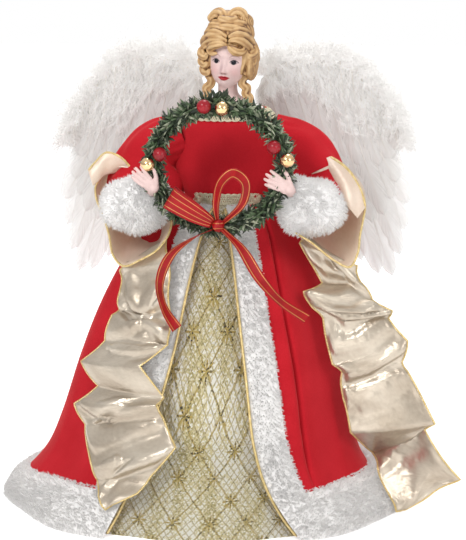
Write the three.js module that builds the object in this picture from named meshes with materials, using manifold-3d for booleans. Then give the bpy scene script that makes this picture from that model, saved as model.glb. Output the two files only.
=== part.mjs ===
// Angel tree topper: a doll in a velvet coat on a hollow cone that slips over the tip of a tree.
// Millimetres, +Z up, the face looks along -Y, and the origin is on the floor under the cone.
// Left and right are the viewer's, looking at the face.
import * as THREE from "three";
import { mergeVertices } from "three/addons/utils/BufferGeometryUtils.js";
import Module from "manifold-3d";

const wasm = await Module();
wasm.setup();
const degrees = THREE.MathUtils.degToRad;
const mix = THREE.MathUtils.lerp;
const turn = 2 * Math.PI;
const point = (x, y, z) => new THREE.Vector3(x, y, z);
const steps = (count) => Array.from({ length: count + 1 }, (_, i) => i / count);
const around = (count) => steps(count).slice(0, -1);

// Gaps, cuts and cloths
const seam = 0.3; // between pieces that touch
const overrun = 1; // how far a cutting body runs past what it cuts
const mergeDistance = 0.001;
const velvetWall = 1.2;
const brocadeWall = 1.2;
const satinWall = 1.2;
const feltWall = 1.5;
const furPile = 5;

// Cone that takes the tip of the tree
const coneHeight = 236;
const coneFootRadius = 60;
const coneTopRadius = 20;
const coneWall = 1.6;
const coneRimWidth = 4;
const coneRimHeight = 2.5;
const plugDepth = 15;

// Body form
const waistRise = 11; // from the cone's top to the waist
const torsoHeight = 80; // from the waist to the top of the form
const waistHalfWidth = 30;
const waistHalfDepth = 23;
const chestHalfWidth = 39;
const chestHalfDepth = 30;
const necklineDrop = 2.5;
const waistHeight = coneHeight + waistRise;
const shoulderHeight = waistHeight + torsoHeight;

// Skirts
const hemHalfWidth = 166;
const hemHalfDepth = 147;
const hemShift = 18; // the skirts are spread this much further to the left at the floor
const skirtGap = 1.5; // between the brocade skirt and the coat's deepest folds
const foldDepth = 3;
const foldCount = 9;
const skirtColumns = 44;
const openingTop = degrees(14);
const openingHem = degrees(31);
const openingTurn = degrees(-12); // at the waist the front opening lies to the left
const sideSeam = degrees(105);
const goreSeams = [60, 132, 228, 300].map(degrees);
const frontFurWidth = 33;
const hemFurShare = 0.845; // how far down the coat the hem's fur starts
const coatLift = 2; // the coat ends this far above the floor

// Wreath
const wreathDrop = 41; // its centre under the shoulders
const wreathReach = 80; // its centre in front of the body
const wreathHalfWidth = 51;
const wreathHalfHeight = 47;
const garlandRadius = 3.8;
const needleLength = 6;
const needleBaseShare = 0.24;
const garlandRows = 26;
const garlandSides = 5;
const berryRadius = 5.5;
const ornamentRadius = 5.5;

// Arms, hands and sleeves
const armReach = 79; // from the middle to the elbow
const elbowDrop = 50; // from the shoulder joint down to the elbow
const wristBack = 27; // from the palm back to the wrist
const palmAngle = degrees(-17); // on the wreath, for the right hand
const sleeveShoulderRadius = 19;
const sleeveElbowRadius = 20;
const sleeveWristRadius = 12;
const armWireRadius = 1.3;
const cuffPile = 8; // how far the cuff stands off the widest sleeve
const cuffLength = 44;
const bellReach = 16; // how far the satin bell stands off the sleeve
const bellDrop = 22; // how much further it hangs at its lowest point
const palmLength = 16;
const palmWidth = 12;
const palmThickness = 7;
const fingerRadius = 1.5;
const fingerLength = 11;

// Head and hair
const neckLength = 15; // from the body form to the chin
const neckRadius = 7.8;
const bustHalfWidth = 20;
const bustHalfDepth = 15;
const headHeight = 41;
const headHalfWidth = 16.5;
const headHalfDepth = 19;
const headForward = 7;
const headRoll = degrees(5);
const dowelRadius = 3;

// Gold lace
const laceWall = 1.5;
const laceWidth = 9;

// Bow
const ribbonWall = 0.8;
const ribbonWidth = 10;
const loopWidth = 19;
const loopReach = 36;
const tailDrop = 82;
const knotRadius = 5;
const knotAngle = degrees(-86);

// Cascades
const cascadeStand = 20; // stands off the coat by shares of this
const pleatCount = 5.5;
const pleatDepth = 5;
const pleatReach = 6;

// Wings
const hingeOffset = 14;
const wingSweep = degrees(12);
const wingSpan = 136;
const wingTop = 59; // above the bracket's middle
const wingDrop = 128; // below the bracket's middle
const featherWall = 1.4;
const featherWidth = 28;
const featherCount = 7;
const covertCount = 5;
const covertWidthShare = 0.206; // of the wing's span
const fluffRadius = 8;
const wingWireRadius = 1.2;
const bracketWall = 2;
const bracketHeight = 22;
const bracketTubeWall = 1.4;

// The sign of a closed surface's volume tells which way its faces point.
function volumeSign(positions, index) {
  const corners = [point(), point(), point()];
  let sum = 0;
  for (let i = 0; i < index.length; i += 3) {
    corners.forEach((corner, k) => corner.fromArray(positions, 3 * index[i + k]));
    sum += corners[0].dot(corners[1].cross(corners[2]));
  }
  return Math.sign(sum);
}

// A closed geometry as a solid for joining and cutting, with its faces turned outwards
function toSolid(geometry) {
  const bare = new THREE.BufferGeometry().setAttribute("position", geometry.getAttribute("position"));
  bare.setIndex(geometry.index);
  const merged = mergeVertices(bare, mergeDistance);
  const vertProperties = merged.attributes.position.array;
  const triVerts = new Uint32Array(merged.index.array);
  if (volumeSign(vertProperties, triVerts) < 0) {
    for (let i = 0; i < triVerts.length; i += 3) {
      [triVerts[i + 1], triVerts[i + 2]] = [triVerts[i + 2], triVerts[i + 1]];
    }
  }
  return new wasm.Manifold(new wasm.Mesh({ numProp: 3, vertProperties, triVerts }));
}

function toGeometry(solid) {
  const mesh = solid.getMesh();
  const geometry = new THREE.BufferGeometry();
  geometry.setAttribute("position", new THREE.BufferAttribute(new Float32Array(mesh.vertProperties), 3));
  geometry.setIndex(new THREE.BufferAttribute(new Uint32Array(mesh.triVerts), 1));
  geometry.computeVertexNormals();
  return geometry;
}

function solidOf(points, faces) {
  const geometry = new THREE.BufferGeometry().setFromPoints(points);
  geometry.setIndex(faces);
  return toSolid(geometry);
}

const union = (solids) => solids.reduce((whole, solid) => whole.add(solid));
const cut = (solid, ...cutters) => cutters.reduce((rest, cutter) => rest.subtract(cutter), solid);
const middleOf = (points) =>
  points.reduce((sum, p) => sum.add(p), point(0, 0, 0)).divideScalar(points.length);

// Closed solid through a row of rings of points, capped at both ends
function loft(rings) {
  const sides = rings[0].length;
  const points = rings.flat();
  const faces = [];
  for (let r = 0; r + 1 < rings.length; r++) {
    for (let c = 0; c < sides; c++) {
      const [a, b] = [r * sides + c, r * sides + ((c + 1) % sides)];
      faces.push(a, b, b + sides, a, b + sides, a + sides);
    }
  }
  for (const [ring, flip] of [[0, true], [rings.length - 1, false]]) {
    const hub = points.push(middleOf(rings[ring])) - 1;
    for (let c = 0; c < sides; c++) {
      const [a, b] = [ring * sides + c, ring * sides + ((c + 1) % sides)];
      faces.push(...(flip ? [hub, b, a] : [hub, a, b]));
    }
  }
  return solidOf(points, faces);
}

// Closed sheet between two grids of points, the outer and the inner face of a cloth
function cloth(outer, inner, round = false) {
  const rows = outer.length;
  const columns = outer[0].length;
  const points = [...outer.flat(), ...inner.flat()];
  const back = rows * columns;
  const faces = [];
  const quad = (a, b, c, d) => faces.push(a, b, c, a, c, d);
  const at = (r, c) => r * columns + (c % columns);
  const across = round ? columns : columns - 1;
  for (let r = 0; r + 1 < rows; r++) {
    for (let c = 0; c < across; c++) {
      const [a, b, e, d] = [at(r, c), at(r, c + 1), at(r + 1, c + 1), at(r + 1, c)];
      quad(a, b, e, d);
      quad(back + d, back + e, back + b, back + a);
    }
  }
  for (let c = 0; c < across; c++) {
    const [a, b] = [at(0, c), at(0, c + 1)];
    const [d, e] = [at(rows - 1, c), at(rows - 1, c + 1)];
    quad(b, a, back + a, back + b);
    quad(d, e, back + e, back + d);
  }
  if (!round) {
    for (let r = 0; r + 1 < rows; r++) {
      const [a, d] = [at(r, 0), at(r + 1, 0)];
      const [b, e] = [at(r, columns - 1), at(r + 1, columns - 1)];
      quad(a, d, back + d, back + a);
      quad(e, b, back + b, back + e);
    }
  }
  return solidOf(points, faces);
}

// A grid of points offset along its own surface normals
function offsetGrid(grid, amount) {
  const rows = grid.length;
  const columns = grid[0].length;
  const clamp = (value, last) => Math.min(Math.max(value, 0), last);
  return grid.map((row, r) =>
    row.map((p, c) => {
      const down = grid[clamp(r + 1, rows - 1)][c].clone().sub(grid[clamp(r - 1, rows - 1)][c]);
      const along = row[clamp(c + 1, columns - 1)].clone().sub(row[clamp(c - 1, columns - 1)]);
      return p.clone().addScaledVector(down.cross(along).normalize(), amount);
    }),
  );
}

// A thin sheet with its middle surface on the grid
const sheet = (grid, wall) => cloth(offsetGrid(grid, wall / 2), offsetGrid(grid, -wall / 2));

function ellipse(centre, halfWidth, halfDepth, sides) {
  return around(sides).map((s) =>
    point(halfWidth * Math.sin(turn * s), -halfDepth * Math.cos(turn * s), 0).add(centre),
  );
}

function ball(centre, radii, across = 10, down = 7) {
  const geometry = new THREE.SphereGeometry(1, across, down);
  geometry.scale(radii.x, radii.y, radii.z);
  geometry.translate(centre.x, centre.y, centre.z);
  return toSolid(geometry);
}

const even = (radius) => point(radius, radius, radius);

function capsuleGeometry(from, to, radius, sides = 5) {
  const along = to.clone().sub(from);
  const geometry = new THREE.CapsuleGeometry(radius, along.length(), 1, sides);
  geometry.applyQuaternion(new THREE.Quaternion().setFromUnitVectors(point(0, 1, 0), along.normalize()));
  const middle = middleOf([from, to]);
  return geometry.translate(middle.x, middle.y, middle.z);
}

const capsule = (from, to, radius, sides) => toSolid(capsuleGeometry(from, to, radius, sides));

// Cone
const coneInside = (height) => mix(coneFootRadius, coneTopRadius, height / coneHeight) - coneWall;

function makeCone() {
  const rimRadius = coneFootRadius + coneRimWidth;
  const profile = [
    [coneInside(0), 0],
    [rimRadius, 0],
    [rimRadius, coneRimHeight],
    [coneInside(coneRimHeight) + coneWall, coneRimHeight],
    [coneTopRadius, coneHeight],
    [coneInside(coneHeight), coneHeight],
    [coneInside(0), 0],
  ].map(([r, z]) => new THREE.Vector2(r, z));
  return toSolid(new THREE.LatheGeometry(profile, 24).rotateX(Math.PI / 2));
}

// Body form: how far up from the cone to the shoulders, and how far out from waist to chest
const bodyFormShares = [
  [0, -0.1],
  [0.12, 0],
  [0.3, 0.35],
  [0.5, 0.8],
  [0.68, 1],
  [0.84, 0.95],
  [0.92, 0.55],
  [0.97, 0],
  [1, -0.7],
];
const bodyFormBottom = coneHeight + seam;
const bodyFormCurve = new THREE.CatmullRomCurve3(
  bodyFormShares.map(([up, out]) =>
    point(
      mix(waistHalfWidth, chestHalfWidth, out),
      mix(waistHalfDepth, chestHalfDepth, out),
      mix(bodyFormBottom, shoulderHeight, up),
    ),
  ),
);

function bodyRing(share, out) {
  const size = bodyFormCurve.getPoint(share);
  return ellipse(point(0, 0, size.z), size.x + out, size.y + out, 16);
}

const bodySolid = (out) => loft(steps(9).map((s) => bodyRing(s, out)));

// The part of a solid between two heights
const between = (solid, low, high) => solid.trimByPlane([0, 0, 1], low).trimByPlane([0, 0, -1], -high);
const bodyShell = (low, high, near, far) => between(bodySolid(far).subtract(bodySolid(near)), low, high);

function makePlug() {
  const radius = coneInside(coneHeight) - seam;
  const heights = [coneHeight - plugDepth, bodyFormBottom + overrun];
  return loft(heights.map((z) => ellipse(point(0, 0, z), radius, radius, 16)));
}

// Skirts: a surface given by the angle from the front, how far down it is, and the distance off the coat
const bodiceOut = seam + velvetWall;
const coatWaistHalfWidth = waistHalfWidth + bodiceOut + seam + brocadeWall;
const coatWaistHalfDepth = waistHalfDepth + bodiceOut + seam + brocadeWall;
const skirtShares = [
  [1, 0],
  [0.968, 0.09],
  [0.9, 0.2],
  [0.8, 0.31],
  [0.65, 0.43],
  [0.48, 0.53],
  [0.28, 0.625],
  [0.165, 0.7],
  [0.075, 0.83],
  [0, 1],
];
const skirtCurve = new THREE.CatmullRomCurve3(
  skirtShares.map(([up, out]) =>
    point(
      mix(coatWaistHalfWidth, hemHalfWidth, out),
      mix(coatWaistHalfDepth, hemHalfDepth, out),
      waistHeight * up,
    ),
  ),
);
const foldAt = (down) => foldDepth * Math.sin(Math.min(1, 2 * down) * (Math.PI / 2));

function skirtPoint(angle, down, out, folds = 1) {
  const size = skirtCurve.getPoint(down);
  const wave = Math.cos(foldCount * angle) * 0.7 + Math.cos((foldCount - 4) * angle + 2 * down) * 0.3;
  const reach = out + folds * foldAt(down) * wave;
  return point(
    (size.x + reach) * Math.sin(angle) - hemShift * (1 - size.z / waistHeight),
    -(size.y + reach) * Math.cos(angle),
    Math.max(size.z, 0),
  );
}

const openingAt = (side, down) => openingTurn * (1 - down) + side * mix(openingTop, openingHem, down);
const angleFor = (length, down) => length / skirtCurve.getPoint(down).x;
const halfSeam = (down) => angleFor(seam / 2, down);
const coatRows = 6;

function coatLayer(out) {
  return steps(coatRows).map((down) => around(skirtColumns).map((c) => skirtPoint(turn * c, down, out)));
}

// What lies between two angles on the skirts, through all their layers
function sector(from, to) {
  const columns = 8;
  const layer = (out) => {
    const grid = steps(coatRows).map((down) =>
      steps(columns).map((c) => skirtPoint(mix(from(down), to(down), c), down, out, 0)),
    );
    const beyond = (row, rise) => row.map((p) => p.clone().add(point(0, 0, rise)));
    return [beyond(grid[0], overrun), ...grid, beyond(grid[grid.length - 1], -overrun)];
  };
  return cloth(layer(2 * furPile), layer(-waistHalfDepth / 2));
}

const coatSeams = {
  left: [(down) => halfSeam(down) - sideSeam, (down) => openingAt(-1, down)],
  right: [(down) => openingAt(1, down), (down) => sideSeam - halfSeam(down)],
  back: [(down) => sideSeam + halfSeam(down), (down) => turn - sideSeam - halfSeam(down)],
};

function skirtCloth({ from, to, top = 0, bottom = 1, near, far, crown = 0, folds = 1, rows, columns }) {
  const grid = (layer, puff) =>
    steps(rows).map((r) => {
      const down = mix(top, bottom, r);
      return steps(columns).map((c) => {
        const fullness = puff * Math.sqrt(4 * c * (1 - c));
        return skirtPoint(mix(from(down), to(down), c), down, layer(down) + fullness, folds);
      });
    });
  return cloth(grid(far, crown), grid(near, 0));
}

const brocadeOuter = (down) => -velvetWall - seam - Math.min(1, 6 * down) * (skirtGap + foldAt(down));

function makeGore(from, to) {
  return skirtCloth({
    from: (down) => from + halfSeam(down),
    to: (down) => to - halfSeam(down),
    near: (down) => brocadeOuter(down) - brocadeWall,
    far: brocadeOuter,
    folds: 0,
    rows: 6,
    columns: 8,
  });
}

function makeFrontFur(side) {
  const start = (down) => openingAt(side, down);
  return skirtCloth({
    from: start,
    to: (down) => start(down) + side * angleFor(frontFurWidth * mix(0.55, 1, down), down),
    bottom: hemFurShare - seam / waistHeight,
    near: () => -overrun,
    far: () => furPile / 2,
    crown: furPile / 2,
    rows: 7,
    columns: 4,
  });
}

function makeHemFur(from, to) {
  const columns = Math.round((skirtColumns * (to(1) - from(1))) / turn);
  const layer = (outAt) =>
    steps(3).map((s) => {
      const down = mix(hemFurShare, 1, s);
      return steps(columns).map((c) => skirtPoint(mix(from(down), to(down), c), down, outAt(s)));
    });
  const full = (s) => furPile * Math.sin(Math.PI * mix(0.2, 0.88, s));
  return cloth(layer(full), layer(() => -overrun));
}

// Wreath: a ring of garland whose needles grow out of its surface
const wreathCentre = point(0, -wreathReach, shoulderHeight - wreathDrop);
const wreathPoint = (angle, outward = 0) =>
  point(wreathHalfWidth + outward, 0, wreathHalfHeight + outward)
    .multiply(point(Math.cos(angle), 0, Math.sin(angle)))
    .add(wreathCentre);

function garlandSurface(angle, roll, grow) {
  const radius = garlandRadius + grow;
  return wreathPoint(angle, radius * Math.cos(roll)).add(point(0, -radius * Math.sin(roll), 0));
}

// The quads of a closed ring, as corner numbers
function ringQuads(rows, sides) {
  return around(rows).flatMap((_, r) =>
    around(sides).map((__, c) => {
      const corner = (row, side) => (row % rows) * sides + (side % sides);
      return [corner(r, c), corner(r + 1, c), corner(r + 1, c + 1), corner(r, c + 1)];
    }),
  );
}

const ringPoints = (rows, sides, grow) =>
  around(rows).flatMap((u) => around(sides).map((v) => garlandSurface(turn * u, turn * v, grow)));

function ringSolid(grow) {
  const faces = ringQuads(garlandRows, garlandSides * 2).flatMap(([a, b, c, d]) => [a, b, c, a, c, d]);
  return solidOf(ringPoints(garlandRows, garlandSides * 2, grow), faces);
}

// Berries and gold balls: angle on the ring, and share of the garland's radius outside its middle line
const ornamentShares = {
  berry_top: [102, 0.3],
  ornament_top: [86.5, -0.3],
  berry_left: [167, -1.2],
  ornament_left: [178, 1],
  berry_right: [22, -1.2],
  ornament_right: [7, 0.8],
};

// From the garland's middle line to the middle of a ball that touches its faceted surface
function ballReach(roll, radius) {
  const half = Math.PI / garlandSides;
  const off = Math.abs((roll % (2 * half)) - half);
  const flat = garlandRadius * Math.cos(half) + radius;
  if (flat * Math.tan(off) < garlandRadius * Math.sin(half)) return flat / Math.cos(off);
  const across = garlandRadius * Math.sin(half - off);
  return garlandRadius * Math.cos(half - off) + Math.sqrt(radius ** 2 - across ** 2);
}

const ornaments = Object.entries(ornamentShares).map(([name, [angle, share]]) => {
  const radius = name.startsWith("berry") ? berryRadius : ornamentRadius;
  const outward = share * garlandRadius;
  const centre = wreathPoint(degrees(angle), outward);
  const reach = ballReach(Math.acos(outward / (garlandRadius + radius)), radius + seam);
  centre.y -= Math.sqrt(reach ** 2 - outward ** 2);
  return { name, centre, radius };
});
const knotCentre = wreathPoint(knotAngle, garlandRadius / 2);
knotCentre.y -= garlandRadius + knotRadius;
const palmPoint = wreathPoint(palmAngle, garlandRadius);
palmPoint.y -= garlandRadius + palmThickness / 2;
const otherSide = (p) => point(-p.x, p.y, p.z);
const clearings = [
  ...ornaments,
  { centre: knotCentre, radius: knotRadius * 1.6 },
  { centre: palmPoint, radius: palmLength },
  { centre: otherSide(palmPoint), radius: palmLength },
];

function makeGarland() {
  const points = ringPoints(garlandRows, garlandSides, 0);
  const faces = [];
  const free = (p) => clearings.every(({ centre, radius }) => p.distanceTo(centre) > radius + overrun);
  const facets = ringQuads(garlandRows, garlandSides).flatMap(([a, b, c, d]) => [
    [a, b, c],
    [a, c, d],
  ]);
  for (const facet of facets) {
    const middle = middleOf(facet.map((k) => points[k]));
    const away = middle.clone().sub(wreathCentre);
    const angle = Math.atan2(away.z / wreathHalfHeight, away.x / wreathHalfWidth);
    const hub = wreathPoint(angle);
    const outward = middle.clone().sub(hub).normalize();
    const along = wreathPoint(angle + turn / garlandRows).sub(hub).normalize();
    const direction = outward.addScaledVector(along, 0.5).normalize();
    const tip = middle.clone().addScaledVector(direction, needleLength);
    if (!free(tip) || !free(middle)) {
      faces.push(...facet);
      continue;
    }
    const base = facet.map((k) => points.push(middle.clone().lerp(points[k], needleBaseShare)) - 1);
    const apex = points.push(tip) - 1;
    facet.forEach((k, i) => {
      const n = (i + 1) % 3;
      faces.push(k, facet[n], base[n], k, base[n], base[i], base[i], base[n], apex);
    });
  }
  return solidOf(points, faces);
}

// Arms: the path runs from the shoulder round the elbow to the wrist, for the right arm
const shoulderPoint = point(
  chestHalfWidth - sleeveShoulderRadius / 4,
  0,
  shoulderHeight - sleeveShoulderRadius * 1.4,
);
const wristShares = [0.33, 1, -0.6];
const wristPoint = palmPoint.clone().add(point(...wristShares).multiplyScalar(wristBack));
const armPathShares = [
  [0, 0, 0],
  [0.59, 0, 0.2],
  [0.93, 0.05, 0.69],
  [1, 0.4, 1],
  [0.86, 0.74, 1.02],
];
const armCurve = new THREE.CatmullRomCurve3([
  ...armPathShares.map(([out, forward, down]) =>
    point(
      mix(shoulderPoint.x, armReach, out),
      mix(shoulderPoint.y, wristPoint.y, forward),
      shoulderPoint.z - elbowDrop * down,
    ),
  ),
  wristPoint,
]);
const armLength = armCurve.getLength();
const sleeveRadius = (share) =>
  share < 0.5
    ? mix(sleeveShoulderRadius, sleeveElbowRadius, Math.sin(Math.PI * share))
    : mix(sleeveElbowRadius, sleeveWristRadius, (share - 0.5) * 2);

// A ring of points square to the arm; its angle starts at the outer side and turns upwards.
function armRing(side, share, radiusAt, sides, past = 0) {
  const along = armCurve.getTangentAt(share);
  const up = along.clone().cross(point(1, 0, 0)).normalize();
  const outward = up.clone().cross(along);
  const centre = armCurve.getPointAt(share).addScaledVector(along, past);
  return around(sides).map((s) => {
    const radius = radiusAt(turn * s);
    const p = centre
      .clone()
      .addScaledVector(outward, radius * Math.cos(turn * s))
      .addScaledVector(up, radius * Math.sin(turn * s));
    return point(side * p.x, p.y, p.z);
  });
}

// A limb along the sleeve; past moves its ends on, or inwards where it is negative.
function armLimb(side, grow, past = 0) {
  const rows = 7;
  const rings = steps(rows).map((s) => armRing(side, s, () => sleeveRadius(s) + grow, 12));
  const end = (s, reach) => armRing(side, s, () => sleeveRadius(s) + grow, 12, reach);
  if (past > 0) return loft([end(0, -past), ...rings, end(1, past)]);
  rings[0] = end(0, -past);
  rings[rows] = end(1, past);
  return loft(rings);
}

function armWire(side, grow = 0) {
  const root = point(shoulderPoint.x / 2.5, 0, shoulderPoint.z);
  const route = [root, ...[0, 0.22, 0.4, 0.6, 0.8, 1].map((s) => armCurve.getPointAt(s)), palmPoint];
  const path = new THREE.CatmullRomCurve3(route.map((p) => point(side * p.x, p.y, p.z)));
  const section = new THREE.Shape().absarc(0, 0, armWireRadius + grow, 0, turn, false);
  const options = { extrudePath: path, steps: 12, curveSegments: 3, bevelEnabled: false };
  return toSolid(new THREE.ExtrudeGeometry(section, options));
}

const cuffRadius = sleeveElbowRadius + cuffPile;
const cuffFrom = 1 - cuffLength / armLength;

function cuffSolid(side, grow) {
  const rows = 5;
  return loft(
    steps(rows).map((s, i) => {
      const full = mix(0.72, 1, Math.sqrt(Math.sin(Math.PI * mix(0.04, 0.96, s))));
      const past = i === 0 ? -grow : i === rows ? grow : 0;
      return armRing(side, mix(cuffFrom, 1, s), () => cuffRadius * full + grow, 10, past);
    }),
  );
}

// Satin bell round the elbow, lowest at the outer underside
const bellFrom = 0.44;
const bellTo = cuffFrom + 0.12;

function bellLayer(side, grow) {
  return steps(4).map((open) => {
    const share = mix(bellFrom, bellTo, open);
    const radiusAt = (angle) => {
      const lowest = Math.max(0, Math.cos(angle + Math.PI * 0.38)) ** 2;
      const ripple = (bellReach / 10) * Math.cos(4 * angle);
      const stand = seam + bellReach * open ** 1.3;
      const free = sleeveRadius(share) + stand + open * (bellDrop * lowest + ripple);
      return (open > 0.7 ? Math.max(free, cuffRadius + seam) : free) + grow;
    };
    return armRing(side, share, radiusAt, 15);
  });
}

// Hand: palm, four fingers, thumb and wrist
function makeHand(side) {
  const reach = palmPoint.clone().sub(wristPoint).normalize();
  const pointing = point(-0.82, 0.05, 0.56).normalize();
  const spread = point(0.56, 0.1, 0.82).normalize();
  const facing = pointing.clone().cross(spread);
  const palm = new THREE.SphereGeometry(1, 8, 5).scale(palmLength / 2, palmWidth / 2, palmThickness / 2);
  palm.applyMatrix4(new THREE.Matrix4().makeBasis(pointing, spread, facing).setPosition(palmPoint));
  palm.scale(side, 1, 1);
  const move = (p, along, across) =>
    p.clone().addScaledVector(pointing, along).addScaledVector(spread, across);
  const bone = (from, to, radius) =>
    capsule(point(side * from.x, from.y, from.z), point(side * to.x, to.y, to.z), radius, 5);
  const knuckles = move(palmPoint, palmLength / 2 - fingerRadius, 0);
  const fingers = [-1.5, -0.5, 0.5, 1.5].map((order) => {
    const root = move(knuckles, 0, order * fingerRadius * 1.7);
    const length = fingerLength * (1 - Math.abs(order) / 10);
    return bone(root, move(root, length, (order * fingerRadius) / 2), fingerRadius);
  });
  const thumbRoot = move(palmPoint, 0, palmWidth / 2 - fingerRadius);
  const thumb = bone(thumbRoot, move(thumbRoot, fingerLength / 2, fingerLength / 4), fingerRadius * 1.1);
  const wrist = bone(wristPoint.clone().addScaledVector(reach, palmThickness), palmPoint, palmWidth * 0.4);
  return union([toSolid(palm), ...fingers, thumb, wrist]);
}

// Bust: shoulder plate, neck and head in one casting
const chinHeight = shoulderHeight + neckLength;
const headShares = [
  [0, 0.2, 0.22],
  [0.08, 0.5, 0.5],
  [0.2, 0.74, 0.74],
  [0.36, 0.92, 0.92],
  [0.54, 1, 1],
  [0.72, 0.96, 0.97],
  [0.88, 0.72, 0.74],
  [1, 0.22, 0.24],
];
const headCurve = new THREE.CatmullRomCurve3(
  headShares.map(([up, width, depth]) =>
    point(width * headHalfWidth, depth * headHalfDepth, chinHeight + up * headHeight),
  ),
);
const headTilt = new THREE.Matrix4()
  .makeTranslation(0, 0, chinHeight)
  .multiply(new THREE.Matrix4().makeRotationY(headRoll))
  .multiply(new THREE.Matrix4().makeTranslation(0, 0, -chinHeight));

function headSolid(grow) {
  const rings = steps(9).map((s) => {
    const size = headCurve.getPoint(s);
    const forward = headForward + (1 - s) ** 3 * headHalfDepth * 0.35;
    const end = s === 0 ? -grow : s === 1 ? grow : 0;
    const ring = ellipse(point(0, -forward, size.z + end), size.x + grow, size.y + grow, 14);
    return ring.map((p) => p.applyMatrix4(headTilt));
  });
  const noseSize = point(headHalfWidth * 0.13, headHalfDepth * 0.2, headHeight * 0.1).addScalar(grow);
  const nose = point(0, -headForward - headHalfDepth * 0.97, chinHeight + headHeight * 0.41);
  return loft(rings).add(ball(nose.applyMatrix4(headTilt), noseSize, 6, 4));
}

// The shoulder plate: height from the form's top to the chin, half width and half depth; then the neck:
// height, radius and how far forward
const bustShares = [
  [0, 1, 1],
  [0.22, 0.84, 0.84],
  [0.45, 0.5, 0.62],
];
const neckShares = [
  [0.7, 1.05, 0],
  [1, 1, 0.2],
];

function bustSolid(grow) {
  const bottom = shoulderHeight + seam;
  const top = chinHeight + headHeight / 3;
  const ring = (height, halfWidth, halfDepth, forward) =>
    ellipse(point(0, -forward * headForward, height), halfWidth + grow, halfDepth + grow, 14);
  const plate = bustShares.map(([up, width, depth]) =>
    ring(mix(bottom, chinHeight, up), bustHalfWidth * width, bustHalfDepth * depth, 0),
  );
  plate[0].forEach((p) => (p.z -= grow));
  const neck = neckShares.map(([up, width, forward]) =>
    ring(mix(bottom, chinHeight, up), neckRadius * width, neckRadius * width, forward),
  );
  return loft([...plate, ...neck, ring(top, neckRadius, neckRadius, 0.5)]);
}

function dowelSolid(grow) {
  const bottom = mix(coneHeight, shoulderHeight, 0.45);
  const top = chinHeight + headHeight / 2;
  const height = top - bottom + 2 * grow;
  const geometry = new THREE.CylinderGeometry(dowelRadius + grow, dowelRadius + grow, height, 12);
  geometry.rotateX(Math.PI / 2).translate(0, -headForward / 5, (bottom + top) / 2);
  return toSolid(geometry);
}

// Hair round the skull: place, then size, in shares of the head's half width, half depth and height
const capShares = [0, 0.1, 0.6, 1.26, 1.18, 0.5];
const faceShares = [0, -1.25, 0.38, 0.86, 0.9, 0.46];
const lobeShares = [
  [0, -0.02, 1.08, 1.2, 1.02, 0.34],
  [-0.48, 0, 1.33, 0.62, 0.66, 0.25],
  [0.44, 0, 1.31, 0.7, 0.7, 0.27],
  [-0.52, -0.74, 0.87, 0.52, 0.42, 0.14],
  [0.52, -0.74, 0.86, 0.52, 0.42, 0.14],
];
const lockShares = [
  [1.14, -0.3, 0.68, 0.38, 0.5, 0.22],
  [1.18, -0.3, 0.42, 0.34, 0.44, 0.2],
  [1.06, -0.24, 0.18, 0.34, 0.4, 0.2],
  [1, -0.2, -0.08, 0.36, 0.4, 0.22],
];

function makeHair() {
  const size = point(headHalfWidth, headHalfDepth, headHeight);
  const place = (x, y, z) =>
    point(x, y, z).multiply(size).add(point(0, -headForward, chinHeight)).applyMatrix4(headTilt);
  const lobe = ([x, y, z, w, d, h], across = 8, down = 5) =>
    ball(place(x, y, z), point(w, d, h).multiply(size), across, down);
  const locks = [-1, 1].flatMap((side) => lockShares.map(([x, ...rest]) => lobe([side * x, ...rest], 5, 4)));
  const cap = lobe(capShares, 10, 6).subtract(lobe(faceShares));
  return union([cap, ...lobeShares.map((shares) => lobe(shares)), ...locks]);
}

// Bow: each ribbon is a sheet along a path whose points are shares of how far it reaches
function ribbon({ routeShares, reach, widthAt, acrossAt, rows }) {
  const curve = new THREE.CatmullRomCurve3(
    routeShares.map((shares) => point(...shares).multiplyScalar(reach).add(knotCentre)),
  );
  const grid = steps(rows).map((s) => {
    const centre = curve.getPoint(s);
    const side = point(...acrossAt(s)).setLength(widthAt(s) / 2);
    return [centre.clone().sub(side), centre, centre.clone().add(side)];
  });
  return sheet(grid, ribbonWall);
}

const gathered = (s) => mix(0.35, 1, Math.sin(Math.PI * s) ** 0.6);
const bowShares = {
  loopLeft: [
    [-0.12, -0.06, 0.06],
    [-0.5, -0.25, 0.3],
    [-1, -0.22, 0.6],
    [-1.04, -0.08, 0.62],
    [-0.95, -0.02, 0.56],
    [-0.5, -0.05, 0.28],
    [-0.12, 0, 0.03],
  ],
  loopRight: [
    [-0.02, -0.04, 0.12],
    [-0.03, -0.16, 0.5],
    [0.08, -0.2, 0.95],
    [0.34, -0.2, 1.16],
    [0.6, -0.2, 0.97],
    [0.55, -0.16, 0.52],
    [0.12, -0.03, 0.06],
  ],
  tailLeft: [
    [-0.04, -0.02, -0.03],
    [-0.24, -0.05, -0.12],
    [-0.45, -0.06, -0.29],
    [-0.55, -0.06, -0.56],
    [-0.51, -0.05, -0.8],
    [-0.39, -0.04, -1],
  ],
  tailRight: [
    [0.04, -0.02, -0.03],
    [0.22, -0.06, -0.2],
    [0.41, -0.07, -0.5],
    [0.61, -0.06, -0.72],
    [0.85, -0.04, -0.88],
  ],
};
const makeLoopLeft = () =>
  ribbon({
    routeShares: bowShares.loopLeft,
    reach: loopReach,
    widthAt: (s) => loopWidth * gathered(s),
    acrossAt: () => [0.5, 0, 0.86],
    rows: 11,
  });
const makeLoopRight = () =>
  ribbon({
    routeShares: bowShares.loopRight,
    reach: loopReach,
    widthAt: (s) => ribbonWidth * gathered(s),
    acrossAt: () => [0.35, 1, 0.15],
    rows: 11,
  });
const makeTail = (routeShares, acrossAt) =>
  ribbon({
    routeShares,
    reach: tailDrop,
    widthAt: (s) => ribbonWidth * mix(0.55, 1, Math.min(1, 3 * s)),
    acrossAt,
    rows: 8,
  });

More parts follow.
